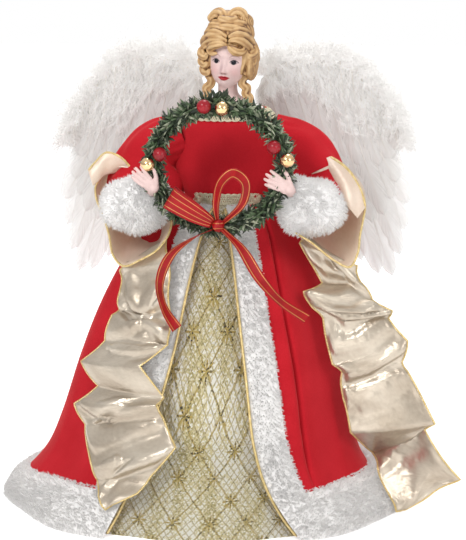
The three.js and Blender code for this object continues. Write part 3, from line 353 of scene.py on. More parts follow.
def brocadeMaterial(s):
    made, tree, shader, where = startMaterial("brocadeGold", {"Sheen Weight": 0.1, "Specular IOR Level": 0.7})
    cloth = where["UV"]
    # Hand-cut cloth: the trellis sways a little
    drift = addNode(tree, "TexNoise", {"Vector": cloth, "Scale": 0.12, "Detail": 1.0})
    swayed = addNode(
        tree, "VectorMath", {0: drift.outputs["Color"], 1: (s["sway"] * 2, s["sway"] * 2, 0), 2: cloth},
        operation="MULTIPLY_ADD",
    )
    split = addNode(tree, "SeparateXYZ", {0: swayed.outputs["Vector"]})

    def diagonals(pitch):
        across, along = (calc(tree, "DIVIDE", split.outputs[k], pitch[k]) for k in (0, 1))
        return [
            calc(tree, "SUBTRACT", calc(tree, "FRACT", calc(tree, operation, across, along)), 0.5)
            for operation in ("ADD", "SUBTRACT")
        ]

    def lattice(pitch, half):
        near = calc(tree, "MINIMUM", *[calc(tree, "ABSOLUTE", d) for d in diagonals(pitch)])
        return remap(tree, near, half, half * 0.4, kind="SMOOTHSTEP")

    # Stars where the wide trellis crosses, measured in millimetres from each crossing
    first, second = diagonals(s["stars"])
    x = calc(tree, "MULTIPLY", calc(tree, "ADD", first, second), s["stars"][0] / 2)
    y = calc(tree, "MULTIPLY", calc(tree, "SUBTRACT", first, second), s["stars"][1] / 2)
    radius = calc(tree, "SQRT", calc(tree, "ADD", calc(tree, "MULTIPLY", x, x), calc(tree, "MULTIPLY", y, y)))
    ripple = calc(tree, "COSINE", calc(tree, "MULTIPLY", calc(tree, "ARCTAN2", x, y), s["arms"]))
    reach = calc(tree, "ADD", calc(tree, "MULTIPLY", ripple, s["reach"][1]), s["reach"][0])
    star = remap(tree, calc(tree, "SUBTRACT", reach, radius), 0.0, 0.5, kind="SMOOTHSTEP")
    patches = remap(tree, noiseAt(tree, cloth, 0.03, 1.0), 0.32, 0.5, kind="SMOOTHSTEP")
    star = calc(tree, "MULTIPLY", star, patches)
    fine = lattice(s["trellis"], s["line"])
    wide = lattice(s["stars"], s["line"] / 3)
    figure = calc(tree, "MAXIMUM", star, calc(tree, "MULTIPLY", wide, 0.8))
    # The weave's cells: the brightest are painted ivory as glints, the lowest go near black in the lines and stars;
    # they also set how metallic and raised each cell is
    twinkle = addNode(tree, "TexVoronoi", {"Vector": cloth, "Scale": 0.9}, feature="F1")
    glint = addNode(tree, "SeparateColor", {0: twinkle.outputs["Color"]}).outputs[0]
    # Painted sheen and shade: the ground is painted lighter and darker in long streaks down the cloth, for the light
    # on its folds
    sweep = addNode(tree, "VectorMath", {0: cloth, 1: (0.05, 0.012, 0)}, operation="MULTIPLY")
    paintedSheen = remap(tree, noiseAt(tree, sweep.outputs["Vector"], 1.0, 2.0), 0.4, 0.6, s["paintedSheenRange"])
    ground = calc(tree, "ADD", glint, paintedSheen, clamp=True)
    groundStops = [(0, s["olive"]), (0.18, s["ground"]), (0.5, s["ground"]), (0.72, s["ivory"])]
    groundColour = rampOf(tree, ground, groundStops)
    lineColour = rampOf(tree, glint, [(0, s["dark"]), (0.1, s["olive"]), (1, s["gold"])])
    figureColour = rampOf(tree, glint, [(0.16, s["dark"]), (0.34, s["gold"]), (1, s["gold"])])
    colour = addNode(
        tree, "Mix", {0: calc(tree, "MULTIPLY", fine, 0.72), 6: groundColour, 7: lineColour}, data_type="RGBA"
    )
    colour = addNode(tree, "Mix", {0: figure, 6: colour.outputs[2], 7: figureColour}, data_type="RGBA")
    tree.links.new(colour.outputs[2], shader.inputs["Base Color"])
    tree.links.new(remap(tree, glint, 0, 1, (0.2, 0.65)), shader.inputs["Metallic"])
    tree.links.new(remap(tree, figure, 0, 1, (0.36, 0.3)), shader.inputs["Roughness"])
    raised = calc(tree, "MULTIPLY", calc(tree, "MAXIMUM", figure, fine), 1.2)
    height = calc(tree, "ADD", raised, threadsAt(tree, cloth, 0.6))
    height = calc(tree, "ADD", height, calc(tree, "MULTIPLY", glint, 1.4))
    bumpInto(tree, shader, height, 0.9, 0.0006)
    return made


looks["brocadeGold"] = brocadeMaterial(brocadeSettings)


# Finishes that read a colour painted on the piece's own points
def paintedMaterial(name, sockets, grain, bump, depth):
    made, tree, shader, where = startMaterial(name, sockets)
    paint = addNode(tree, "Attribute", attribute_name="paint")
    inputs = {"Vector": where["Object"], "Broad": 120, "Fine": 900, "Share": 0.4}
    mask = addNode(tree, "Group", inputs, node_tree=mottleTree).outputs["Mask"]
    inputs = {0: paint.outputs["Color"], "Scale": remap(tree, mask, 0, 1, (0.9, 1.06))}
    colour = addNode(tree, "VectorMath", inputs, operation="SCALE")
    tree.links.new(colour.outputs[0], shader.inputs["Base Color"])
    bumpInto(tree, shader, noiseAt(tree, where["Object"], grain), bump, depth)
    return made


paintedFinishes = {
    "porcelain": ({"Roughness": 0.45, "Specular IOR Level": 0.22, "Coat Weight": 0.04, "Coat Roughness": 0.2},
                  900, 0.06, 0.0001),
    "hairPaint": ({"Roughness": 0.5, "Coat Weight": 0.1, "Coat Roughness": 0.3}, 1500, 0.2, 0.0001),
}
looks.update({name: paintedMaterial(name, *values) for name, values in paintedFinishes.items()})
print("materials made")


# Floor, world and lamps
stageSettings = {
    "floor": 12.0,
    "floorColour": (0.80, 0.80, 0.80, 1),
    "floorGlow": 0.55,
    "world": (0.30, 0.80),
    "lamps": [
        # name, place, size, power
        ("key", (-0.75, -1.35, 1.25), 0.55, 13.0),
        ("fill", (1.15, -1.1, 0.75), 0.8, 6.0),
        ("top", (0.1, 0.5, 1.5), 0.7, 7.0),
        ("low", (-0.2, -1.7, 0.25), 0.6, 2.5),
    ],
}


def makeStage(s):
    bm = bmesh.new()
    bmesh.ops.create_grid(bm, x_segments=1, y_segments=1, size=s["floor"] / 2)
    mesh = meshOf("floor", bm)
    addObject("floor", mesh)
    made = bpy.data.materials.new("floorPale")
    made.use_nodes = True
    tree = made.node_tree
    tree.nodes.remove(tree.nodes["Principled BSDF"])
    rays = addNode(tree, "LightPath").outputs
    plain = addNode(tree, "BsdfDiffuse", {"Color": s["floorColour"]}).outputs[0]
    glow = addNode(tree, "Emission", {"Strength": s["floorGlow"]}).outputs[0]
    both = addNode(tree, "AddShader", {0: plain, 1: glow}).outputs[0]
    seen = calc(tree, "MAXIMUM", rays["Is Camera Ray"], rays["Is Glossy Ray"])
    mixed = addNode(tree, "MixShader", {0: seen, 1: plain, 2: both}).outputs[0]
    tree.links.new(mixed, tree.nodes["Material Output"].inputs["Surface"])
    mesh.materials.append(made)
    world = bpy.data.worlds.new("studio")
    world.use_nodes = True
    scene.world = world
    tree = world.node_tree
    rays = addNode(tree, "LightPath").outputs
    seen = calc(tree, "MAXIMUM", rays["Is Camera Ray"], rays["Is Transmission Ray"])
    # Brighter from above than from below, as in a photographer's tent
    up = addNode(tree, "SeparateXYZ", {0: addNode(tree, "TexCoord").outputs["Generated"]}).outputs[2]
    rise = remap(tree, up, -0.6, 0.9, s["world"], "SMOOTHSTEP")
    soft = addNode(tree, "Background", {"Color": (1, 1, 1, 1), "Strength": rise}).outputs[0]
    white = addNode(tree, "Background", {"Color": (1, 1, 1, 1), "Strength": 1.0}).outputs[0]
    mixed = addNode(tree, "MixShader", {0: seen, 1: soft, 2: white}).outputs[0]
    tree.links.new(mixed, tree.nodes["World Output"].inputs["Surface"])
    for name, place, size, power in s["lamps"]:
        lamp = bpy.data.lights.new(name, "AREA")
        lamp.shape, lamp.size, lamp.energy = "DISK", size, power
        addObject(name, lamp, place, Vector((0, 0, 0.2)) - Vector(place))


makeStage(stageSettings)


# Shapes: curves, tables and grids in millimetres
def mix(a, b, t):
    return a + (b - a) * t


def ease(t):
    t = min(1.0, max(0.0, t))
    return t * t * (3 - 2 * t)


def onSide(side, p):
    # A point or direction of the right side, there or mirrored to the left
    return Vector((side * p[0], p[1], p[2]))


def stray(dice, *spreads):
    return Vector([dice.gauss(0, spread) for spread in spreads])


def splineAt(points, t):
    # The curve that the part's source draws through the same points: centripetal, open
    place = (len(points) - 1) * min(1.0, max(0.0, t))
    k = min(int(place), len(points) - 2)
    w = place - k
    b, c = Vector(points[k]), Vector(points[k + 1])
    a = Vector(points[k - 1]) if k > 0 else 2 * b - c
    d = Vector(points[k + 2]) if k + 2 < len(points) else 2 * c - b
    steps = [(q - p).length ** 0.5 for p, q in ((a, b), (b, c), (c, d))]
    middle = steps[1] if steps[1] > 1e-4 else 1.0
    first = steps[0] if steps[0] > 1e-4 else middle
    last = steps[2] if steps[2] > 1e-4 else middle
    leave = ((b - a) / first - (c - a) / (first + middle) + (c - b) / middle) * middle
    arrive = ((c - b) / middle - (d - b) / (middle + last) + (d - c) / last) * middle
    return b + leave * w + (3 * (c - b) - 2 * leave - arrive) * w**2 + (2 * (b - c) + leave + arrive) * w**3


def tableOf(points, count):
    return [splineAt(points, k / count) for k in range(count + 1)]


def sizedRoute(points, count):
    # A smooth line through places that each have a radius
    route = tableOf([p[:3] for p in points], count)
    return route, [size.x for size in tableOf([(p[3], 0, 0) for p in points], count)]


def tableAt(table, share):
    place = min(1.0, max(0.0, share)) * (len(table) - 1)
    k = min(int(place), len(table) - 2)
    return table[k].lerp(table[k + 1], place - k)


def finishPiece(name, bm, look, replaced=None, ridesOn="body", wall=0.0, merge=True):
    if merge:
        bmesh.ops.remove_doubles(bm, verts=bm.verts, dist=0.00001)
    mesh = meshOf(name, bm)
    mesh.shade_smooth()
    mesh.materials.append(looks[look])
    made = addObject(name, mesh)
    if wall:
        made.modifiers.new("wall", "SOLIDIFY").thickness = wall * mm
        made.modifiers["wall"].offset = 0
    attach(made, ridesOn)
    if replaced:
        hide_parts(replaced)
    return made


def shapedGrid(bm, rows, columns, place, size=(1.0, 1.0), uvAt=None):
    # A grid whose points go where place(across, down) says, with UVs in millimetres
    uvs = bm.loops.layers.uv.verify()
    made = bmesh.ops.create_grid(bm, x_segments=columns, y_segments=rows, size=0.5)["verts"]
    shares = {v: (v.co.x + 0.5, 0.5 - v.co.y) for v in made}
    faces = {f for v in made for f in v.link_faces}
    for face in faces:
        for loop in face.loops:
            across, down = shares[loop.vert]
            loop[uvs].uv = uvAt(across, down) if uvAt else (across * size[0], -down * size[1])
    for v, (across, down) in shares.items():
        v.co = Vector(place(across, down)) * mm
    return shares


def gridPiece(name, look, place, rows, columns, size, replaced=None, wall=0.0):
    bm = bmesh.new()
    shapedGrid(bm, rows, columns, place, size)
    return finishPiece(name, bm, look, replaced, wall=wall)


# Skirts: one line from the waist to the hem, folds, and the opening at the front
skirt = {
    "waist": (33.0, 26.0),
    "hem": (166.0, 147.0),
    "height": 247.0,
    "shift": 18.0,
    "foldDepth": 3.0,
    "folds": 9,
    "shares": [(1, 0), (0.968, 0.09), (0.9, 0.2), (0.8, 0.31), (0.65, 0.43), (0.48, 0.53), (0.28, 0.625),
               (0.165, 0.7), (0.075, 0.83), (0, 1)],
    "opening": (2, 31),
    "leftOpening": (16.5, 24.0),
    "sideSeam": 105,
    "goreSeams": (60, 132, 228, 300),
    "gap": 1.5,
    "halfSeam": 0.15,
    "wall": 1.2,
    "hemFurFrom": 0.845,
    "frontFurWidth": 33.0,
    "seam": 0.3,
    "lift": 2.0,
}
skirtLine = [
    (mix(skirt["waist"][0], skirt["hem"][0], out), mix(skirt["waist"][1], skirt["hem"][1], out), skirt["height"] * up)
    for up, out in skirt["shares"]
]
skirtTable = tableOf(skirtLine, 400)


def skirtSize(down):
    return tableAt(skirtTable, down)


def foldAt(down):
    return skirt["foldDepth"] * math.sin(min(1, 2 * down) * math.pi / 2)


def skirtPoint(angle, down, out, folds=1.0):
    size = skirtSize(down)
    wave = math.cos(skirt["folds"] * angle) * 0.7 + math.cos((skirt["folds"] - 4) * angle + 2 * down) * 0.3
    reach = out + folds * foldAt(down) * wave
    return Vector((
        (size.x + reach) * math.sin(angle) - skirt["shift"] * (1 - size.z / skirt["height"]),
        -(size.y + reach) * math.cos(angle),
        max(size.z, 0),
    ))


def openingAt(side, down):
    # The left band runs almost straight down, then swings out under the cascade
    if side < 0:
        return -rad(mix(*skirt["leftOpening"], ease((down - 0.45) / 0.35)))
    return rad(mix(*skirt["opening"], down))


def angleFor(length, down):
    return length / skirtSize(down).x


def seamGap(down):
    return angleFor(skirt["halfSeam"], down)


def drape(angle, down, strength, seed):
    # Slow unevenness of a cloth that hangs
    return strength * noise.noise(Vector((angle * 2.2, down * 3.0, seed)))


coatFolds = {
    "strength": 2.2,
    "crease": 3.0,
    "rows": 90,
    "columns": 110,
    "lie": -0.6,
    "groove": 6.0,
    "beside": 9.0,
    "aside": 8.5,
    "fromBand": 3.0,
    "under": (2.5, 0.7),
    "cut": {"left": 180, "right": 180, "back": 240},
}


def furEdge(side, down, beyond=0.0):
    # The angle at which the front fur band ends, and beyond it
    return openingAt(side, down) + side * angleFor(skirt["frontFurWidth"] * mix(0.55, 1, down) + beyond, down)


def leftward(angle):
    # How far an angle lies towards the left side, where the coat is pulled out
    return math.exp(-((((angle + math.pi) % turn - math.pi + rad(88)) / 0.55) ** 2))


def pulled(angle, down):
    return coatFolds["aside"] * leftward(angle) * ease(down * 3) * ease((1 - down) * 9)


def coatPoint(angle, down, out=0.0):
    # The coat's surface, with drape, small creases and a long groove beside the right band, besides its folds
    hang = math.sin(math.pi * min(1, down * 1.05))
    crease = max(0, noise.noise(Vector((angle * 7, down * 1.6, 4.2)))) ** 2 * coatFolds["crease"]
    beside = coatFolds["beside"] + 6 * math.sin(3 * down) + 1.5 * math.sin(13 * down)
    off = (angle - furEdge(1, down, beside)) * skirtSize(down).x
    groove = coatFolds["groove"] * math.exp(-((off / 1.7) ** 2)) - 1.2 * math.exp(-(((off + 6) / 4) ** 2))
    groove *= ease(down * 5) * ease((0.9 - down) * 4)
    folds = drape(angle, down, coatFolds["strength"], 1.7) + crease
    return skirtPoint(angle, down, out + hang * folds - groove + pulled(angle, down))


coatPanels = {
    "left": (lambda d: -rad(skirt["sideSeam"]) + seamGap(d), lambda d: openingAt(-1, d)),
    "right": (lambda d: openingAt(1, d), lambda d: rad(skirt["sideSeam"]) - seamGap(d)),
    "back": (lambda d: rad(skirt["sideSeam"]) + seamGap(d),
             lambda d: turn - rad(skirt["sideSeam"]) - seamGap(d)),
}


def makeCoat():
    for word, (start, end) in coatPanels.items():
        def place(across, down):
            low, high = start(down), end(down)
            if word == "left":
                high -= angleFor(coatFolds["fromBand"], down)
            if word == "right":
                low += angleFor(coatFolds["fromBand"], down)
            lie = coatFolds["lie"]
            if word == "back":
                # The back reaches a little under its neighbours
                under, lower = coatFolds["under"]
                low, high, lie = low - angleFor(under, down), high + angleFor(under, down), lie - lower
            p = coatPoint(mix(low, high, across), down, lie)
            return (p.x, p.y, max(p.z, skirt["lift"]))

        made = gridPiece(f"coatPanel_{word}", "velvetRed", place, coatFolds["rows"], coatFolds["columns"], (200, 260),
                         f"coat_{word}", 1.0)


def brocadeOut(down):
    return -skirt["wall"] - skirt["seam"] - min(1, 6 * down) * (skirt["gap"] + foldAt(down))


brocadeCut = {"rows": 90, "columns": 70, "thick": 0.9, "ripple": 5.0, "phase": 1.6, "long": 290, "cut": (190, 130)}


def makeBrocade():
    seams = [rad(a) for a in skirt["goreSeams"]]
    gores = dict(zip(("front", "right", "back", "left"), zip([seams[3] - turn, *seams], seams)))
    for word, (start, end) in gores.items():
        bm = bmesh.new()
        uvs = bm.loops.layers.uv.verify()

        def place(across, down):
            edge = angleFor(0.2, down)
            angle = mix(start + edge, end - edge, across)
            wave = math.sin(angle * 8.5 + brocadeCut["phase"] + 0.8 * math.sin(down * 4))
            wave += 0.4 * noise.noise(Vector((angle * 6, down * 2, 8)))
            ripple = brocadeCut["ripple"] * min(1, 3 * down) * (wave * 0.5 - 0.7)
            return skirtPoint(angle, down, brocadeOut(down) - skirt["wall"] / 2 + ripple, 0)

        shapedGrid(bm, brocadeCut["rows"], brocadeCut["columns"], place)
        for face in bm.faces:
            for loop in face.loops:
                across, down = loop[uvs].uv.x, -loop[uvs].uv.y
                loop[uvs].uv = (mix(start, end, across) * skirtSize(down).x, -down * brocadeCut["long"])
        made = finishPiece(f"brocadeGore_{word}", bm, "brocadeGold", f"brocade_{word}", wall=brocadeCut["thick"])


makeCoat()
makeBrocade()
print("skirts made")


# Threads
def threadInto(bm, points, radius, cyclic=False, around=6, taper=None):
    # A round thread through points in millimetres; taper gives its thickness along it
    points = [Vector(p) for p in points]
    if cyclic:
        points = points + [points[0]]
    last = len(points) - 1
    tangents = []
    for k in range(last + 1):
        before = points[k - 1] if k else (points[last - 1] if cyclic else points[0])
        after = points[k + 1] if k < last else (points[1] if cyclic else points[last])
        tangents.append((after - before).normalized())
    up = tangents[0].orthogonal().normalized()
    frames, length = [], 0.0
    for k, t in enumerate(tangents):
        up = (up - t * up.dot(t)).normalized()
        frames.append((points[k], up.copy(), t.cross(up)))
        length += (points[k] - points[k - 1]).length if k else 0
    twist = math.atan2(frames[-1][1].dot(frames[0][2]), frames[-1][1].dot(frames[0][1])) if cyclic else 0.0

    def place(across, down):
        k = round(down * last)
        centre, u, v = frames[k]
        angle = -turn * across - twist * down
        size = radius * (taper(down) if taper else 1.0)
        return centre + (u * math.cos(angle) + v * math.sin(angle)) * size

    return shapedGrid(bm, last, around, place, (turn * radius, length))


def inside(share):
    # Between a thread's two ends, where it closes to a point
    return 0.0005 < share < 0.9995


def goldEdge(name, route, radius, cyclic=False):
    # The gold wired edge of a cloth, closed at both ends
    bm = bmesh.new()
    threadInto(bm, route, radius, cyclic, 8, None if cyclic else inside)
    finishPiece(name, bm, "goldThread")


# Fur: tufts of a few tapered hairs over a plush ground
furSettings = {
    "variants": 10,
    "hairs": 3,
    "base": 0.36,
    "tip": 0.04,
    "bend": 0.6,
    "bends": (0.2, 1),
    "spread": 0.55,
    "lengths": (0.65, 1.0),
    # how uneven a band's tufts are, how deep they sit, and how they stray in a long and in a short fur
    "uneven": (0.7, 1.15),
    "sunk": 0.4,
    "longFrom": 4.2,
    "stray": {True: 0.22, False: 0.12},
    "step": 0.004,
}


def taperedHair(bm, base, tip):
    before = set(bm.verts)
    bmesh.ops.create_cone(bm, segments=3, radius1=base, radius2=tip, depth=1.0, cap_ends=False, cap_tris=False)
    return set(bm.verts) - before


def makeTufts(s, seed):
    dice = random.Random(seed)
    made = []
    for _ in range(s["variants"]):
        bm = bmesh.new()
        for _hair in range(s["hairs"]):
            new = taperedHair(bm, s["base"], s["tip"])
            lean = dice.uniform(0, turn)
            tilt, bend = dice.uniform(0, s["spread"]), dice.uniform(*s["bends"]) * s["bend"]
            length = dice.uniform(*s["lengths"])
            for v in new:
                up = (v.co.z + 0.5) * length
                shift = up * math.tan(tilt) + bend * up**2
                v.co = Vector((v.co.x + shift * math.cos(lean), v.co.y + shift * math.sin(lean), up))
        made.append(meshOf("tuft", bm))
    return made


tufts = makeTufts(furSettings, 5)


def scatter(bm, templates, placements):
    for template, matrix in placements:
        copy = template.copy()
        copy.transform(matrix)
        bm.from_mesh(copy)
        bpy.data.meshes.remove(copy)


def standing(place, normal, lay, length, width, dice):
    # Turns a tuft so that it grows along the normal, leaning towards lay
    up = (normal + lay).normalized()
    roll = Matrix.Rotation(dice.uniform(0, turn), 4, "Z")
    scale = Matrix.Diagonal((width * mm, width * mm, length * mm, 1))
    return Matrix.Translation(place * mm) @ up.to_track_quat("Z", "Y").to_matrix().to_4x4() @ roll @ scale


def furPiece(name, place, grid, count, length, layAt, seed, replaced, trim=None, outward=-1, look="furWhite"):
    bm = bmesh.new()
    shapedGrid(bm, *grid, place, (100, 100))
    dice = random.Random(seed)
    placements = []
    step = furSettings["step"]
    spread = furSettings["stray"][length > furSettings["longFrom"]]
    while len(placements) < count:
        across, down = dice.random(), dice.random()
        p = Vector(place(across, down))
        sideways = Vector(place(min(1, across + step), down)) - Vector(place(max(0, across - step), down))
        downwards = Vector(place(across, min(1, down + step))) - Vector(place(across, max(0, down - step)))
        normal = sideways.cross(downwards)
        if normal.length < 1e-9:
            continue
        normal = normal.normalized() * outward
        lay = layAt(across, down)
        wild = stray(dice, spread, spread, spread)
        long = length * dice.uniform(*furSettings["uneven"]) * (trim(across) if trim else 1)
        root = p - normal * furSettings["sunk"]
        placements.append((dice.choice(tufts), standing(root, normal, lay + wild, long, 1.0, dice)))
    scatter(bm, tufts, placements)
    finishPiece(name, bm, look, replaced, merge=False)


furLooks = {"frontCount": 5200, "hemCount": 5200, "length": 4.0, "lean": 0.35, "overlap": 0.02, "dip": 0.04}


def makeSkirtFur():
    for word, side in sides.items():
        def place(across, down):
            share = mix(0.0, skirt["hemFurFrom"] + furLooks["overlap"], down)
            start = openingAt(side, share)
            width = side * angleFor(skirt["frontFurWidth"] * mix(0.55, 1, share), share)
            across = across if side > 0 else 1 - across
            crown = 3.2 * math.sqrt(max(0.0, 1 - (2 * across - 1) ** 4)) - 0.7
            return skirtPoint(start + width * across, share, crown)

        def lay(across, down):
            edge = (across - 0.5) * 2
            return Vector((0.12 * edge, 0, -furLooks["lean"]))

        furPiece(f"frontFurBand_{word}", place, (60, 10), furLooks["frontCount"], furLooks["length"], lay, 11 + side,
                 f"front_fur_{word}", lambda across: mix(0.5, 1, ease(min(across, 1 - across) * 6)))
    for k, (word, (start, end)) in enumerate(coatPanels.items()):
        def place(across, down):
            angle = mix(start(0.9), end(0.9), across)
            share = mix(skirt["hemFurFrom"] - furLooks["overlap"] + furLooks["dip"] * leftward(angle), 0.998, down)
            angle = mix(start(share), end(share), across)
            swell = 1.8 + 4.4 * math.sin(math.pi * mix(0.12, 0.9, down)) ** 0.7
            crown = -1.2 + swell * ease(down * 6) + pulled(angle, share)
            return skirtPoint(angle, share, crown + 1.5 * leftward(angle) * (1 - down))

        def lay(across, down):
            low = ease((down - 0.6) / 0.4)
            return Vector((0, 0, mix(-furLooks["lean"], 0.5, low)))

        count = round(furLooks["hemCount"] * (1.3 if word == "back" else 1.0))
        furPiece(f"hemFurBand_{word}", place, (14, 60), count, furLooks["length"], lay, 31 + k, f"hem_fur_{word}")


pipingLooks = {"radius": 1.1, "out": 1.6, "aside": 1.0, "steps": 80}


def makePiping(s):
    # A gold edge where each front band meets the brocade
    for word, side in sides.items():
        edge = []
        for k in range(s["steps"] + 1):
            down = mix(0.02, 0.985, k / s["steps"])
            edge.append(skirtPoint(openingAt(side, down) - side * angleFor(s["aside"], down), down, s["out"]))
        goldEdge(f"frontPiping_{word}", edge, s["radius"])


makeSkirtFur()
makePiping(pipingLooks)
print("skirt fur made")

# The arms: a line from the shoulder to the wrist, and directions along it
arm = {
    "shoulder": (34.25, 0.0, 300.4),
    "reach": 79.0,
    "drop": 50.0,
    "shares": [(0, 0, 0), (0.59, 0, 0.2), (0.93, 0.05, 0.69), (1, 0.4, 1), (0.86, 0.74, 1.02)],
    "wrist": (61.3, -60.3, 254.95),
    "palm": (52.4, -87.3, 271.15),
    "radii": (19.0, 20.0, 12.0),
    "cuff": 44.0,
}
armLine = tableOf(
    [
        (mix(arm["shoulder"][0], arm["reach"], out), mix(arm["shoulder"][1], arm["wrist"][1], forward),
         arm["shoulder"][2] - arm["drop"] * down)
        for out, forward, down in arm["shares"]
    ] + [arm["wrist"]],
    400,
)
armLengths = [0.0]
for near, far in zip(armLine, armLine[1:]):
    armLengths.append(armLengths[-1] + (far - near).length)


def alongArm(share):
    goal = armLengths[-1] * min(1.0, max(0.0, share))
    low, high = 0, len(armLengths) - 1
    while high - low > 1:
        middle = (low + high) // 2
        low, high = (middle, high) if armLengths[middle] <= goal else (low, middle)
    run = armLengths[high] - armLengths[low]
    return armLine[low].lerp(armLine[high], (goal - armLengths[low]) / run if run else 0)


def armFrame(share):
    share = min(share, 0.995)
    ahead = (alongArm(share + 0.004) - alongArm(share - 0.004)).normalized()
    up = ahead.cross(Vector((1, 0, 0))).normalized()
    return alongArm(share), up.cross(ahead), up, ahead


def sleeveRadius(share):
    shoulder, elbow, wrist = arm["radii"]
    if share < 0.5:
        return mix(shoulder, elbow, math.sin(math.pi * share))
    return mix(elbow, wrist, (share - 0.5) * 2)


def armPoint(side, share, angle, radius, past=0.0):
    centre, outward, up, ahead = armFrame(share)
    p = centre + ahead * past + (outward * math.cos(angle) + up * math.sin(angle)) * radius
    return onSide(side, p)


# Sleeves: full at the shoulder, gathered into the cuff
sleeveLooks = {"to": 0.86, "rows": 64, "columns": 72, "wrinkle": 2.4, "gather": 0.7, "sag": 17.0,
               "cut": 126}
paddingLooks = {"grid": (24, 24), "within": 2.6, "lump": 0.5, "fill": 0.8}


def makeSleeves(s):
    for word, side in sides.items():
        def place(across, down):
            share = down * s["to"]
            angle = turn * across * side
            swell = math.sin(math.pi * min(1, share / 0.7)) * 1.2
            fold = noise.noise(Vector((math.cos(angle) * 1.3, math.sin(angle) * 1.3 + side * 9, share * 9)))
            pull = noise.noise(Vector((math.cos(angle) * 0.8 + 5, math.sin(angle) * 3.2, share * 3.0 + side)))
            gather = math.sin(angle * 17) * s["gather"] * max(0, 1 - share * 5)
            radius = sleeveRadius(share) + swell + s["wrinkle"] * (0.7 * fold + 0.8 * pull) * ease(share * 5) + gather
            p = armPoint(side, share, angle, radius)
            # The inner side sags towards the body
            middle = armFrame(share)[0]
            inward = ease(max(0, middle.x - abs(p.x)) / 15) * math.sin(math.pi * min(1, share / 0.8))
            return p - Vector((side * s["sag"], 0, 0.6 * s["sag"])) * inward

        made = gridPiece(f"puffSleeve_{word}", "velvetRed", place, s["rows"], s["columns"], (120, 120),
                         f"sleeve_{word}", 0.8)


def makePadding(s):
    for word, side in sides.items():
        def place(across, down):
            share = mix(0.02, 0.97, down)
            full = math.sin(math.pi * mix(0.06, 0.94, down)) ** 0.35 if 0 < down < 1 else 0
            lump = noise.noise(Vector((across * 6, down * 7, side * 3.0))) * s["lump"]
            radius = max(0, (sleeveRadius(share) - s["within"] + lump) * full)
            return armPoint(side, share, turn * across * side, radius)

        made = gridPiece(f"armStuffing_{word}", "feltWhite", place, *s["grid"], (100, 100), f"arm_padding_{word}")


makeSleeves(sleeveLooks)
makePadding(paddingLooks)

# Fur cuffs
cuffLooks = {
    "profile": [(-0.02, 9), (-0.01, 14), (0.02, 18), (0.12, 20.5), (0.3, 22.0), (0.5, 22.6), (0.7, 22.6), (0.9, 22.0),
                (1.04, 21.2), (1.18, 20.0), (1.32, 17.6), (1.42, 14.0), (1.5, 10.0), (1.54, 7.0), (1.53, 4.5)],
    "count": 5800,
    "length": 4.6,
    "lean": 0.45,
}


def makeCuffs(s):
    start = 1 - arm["cuff"] / armLengths[-1]
    # Beyond the wrist a cuff bends towards the palm
    bend = (Vector(arm["palm"]) - Vector(arm["wrist"])).normalized() - armFrame(1)[3]
    for word, side in sides.items():
        def place(across, down):
            p = splineAt([(a, b, 0) for a, b in s["profile"]], down)
            angle = turn * across * side
            lump = noise.noise(Vector((math.cos(angle) * 1.1, math.sin(angle) * 1.1, down * 2 + side * 5))) * 4.0
            lump += noise.noise(Vector((math.cos(angle) * 3, math.sin(angle) * 3, down * 6 + side * 5))) * 1.4
            lump *= ease(min(1, p.y / 20)) * ease(down * 8)
            past = (p.x - 1) * arm["cuff"] if p.x > 1 else 0
            tall = 1 - (0.16 if math.sin(angle) > 0 else 0.05) * math.sin(angle) ** 2
            found = armPoint(side, mix(start, 1, p.x), angle, (p.y + lump) * tall, past)
            return found + onSide(side, bend) * max(0, past)

        def lay(across, down):
            return onSide(side, armFrame(1)[3]) * s["lean"] + Vector((0, 0, -0.3))

        # The cuffs take the white fur painted lighter
        furPiece(f"furCuff_{word}", place, (30, 44), s["count"], s["length"], lay, 51 + side, f"cuff_{word}",
                 outward=1, look="cuffFurPaintedLighter")


makeCuffs(cuffLooks)

# Satin bells at the elbows: from the sleeve out to a rim that hangs open in front
bellLooks = {
    "from": 0.42,
    "inner": 1.2,
    "rows": 26,
    "columns": 110,
    "edge": 0.95,
    "wall": 0.6,
    "cut": 230,
    "pleatCut": 20,
    "pleatSwell": (0, -2.4, 0.8),
    "pleats": {
        "left": {
            "edge": [(-76.5, -20, 275), (-86, -21, 285), (-97.5, -20, 288.3), (-107.2, -21, 279.5), (-112, -24, 274)],
            "root": [(-80, -16, 279), (-90, -18, 272), (-98, -20, 270), (-104, -24, 265), (-107.5, -28, 262)],
        },
        "right": {
            "edge": [(84, -18, 287), (93.4, -21, 281), (101.5, -24, 273.5), (109.5, -29, 261), (113.4, -34, 248)],
            "root": [(74, -16, 282), (82, -20, 274), (90, -26, 262), (98, -34, 250), (107, -38, 240)],
        },
    },
    "rims": {
        "left": [(-80, -14, 280), (-94, -16, 274), (-105.5, -23, 262.5), (-104.5, -30, 252), (-98.3, -36, 239.5),
                 (-92.4, -44, 224.5), (-88.1, -52, 209.6), (-79.2, -58, 201.9), (-64.4, -66, 208.4),
                 (-49.4, -70, 218.2), (-41, -62, 231), (-44, -38, 249), (-56, -20, 266)],
        "right": [(83.9, -14, 285.1), (92.9, -17, 281.5), (100.3, -20, 275), (108.0, -25, 263),
                  (112.8, -30, 249.5), (111.4, -36, 237.5), (109.3, -44, 226.5), (108.0, -52, 214.7),
                  (101.9, -58, 204.0), (88.9, -62, 210.2), (72.0, -66, 224.2), (58.0, -62, 232.8),
                  (47.7, -38, 248.8), (60.1, -16, 271)],
    },
}


def closedLine(points, count):
    # A smooth closed line through the points
    ring = [points[-2], points[-1], *points, points[0], points[1]]
    share = [(k + 2) / (len(ring) - 1) for k in (0, len(points))]
    return [splineAt(ring, mix(share[0], share[1], k / count)) for k in range(count)]


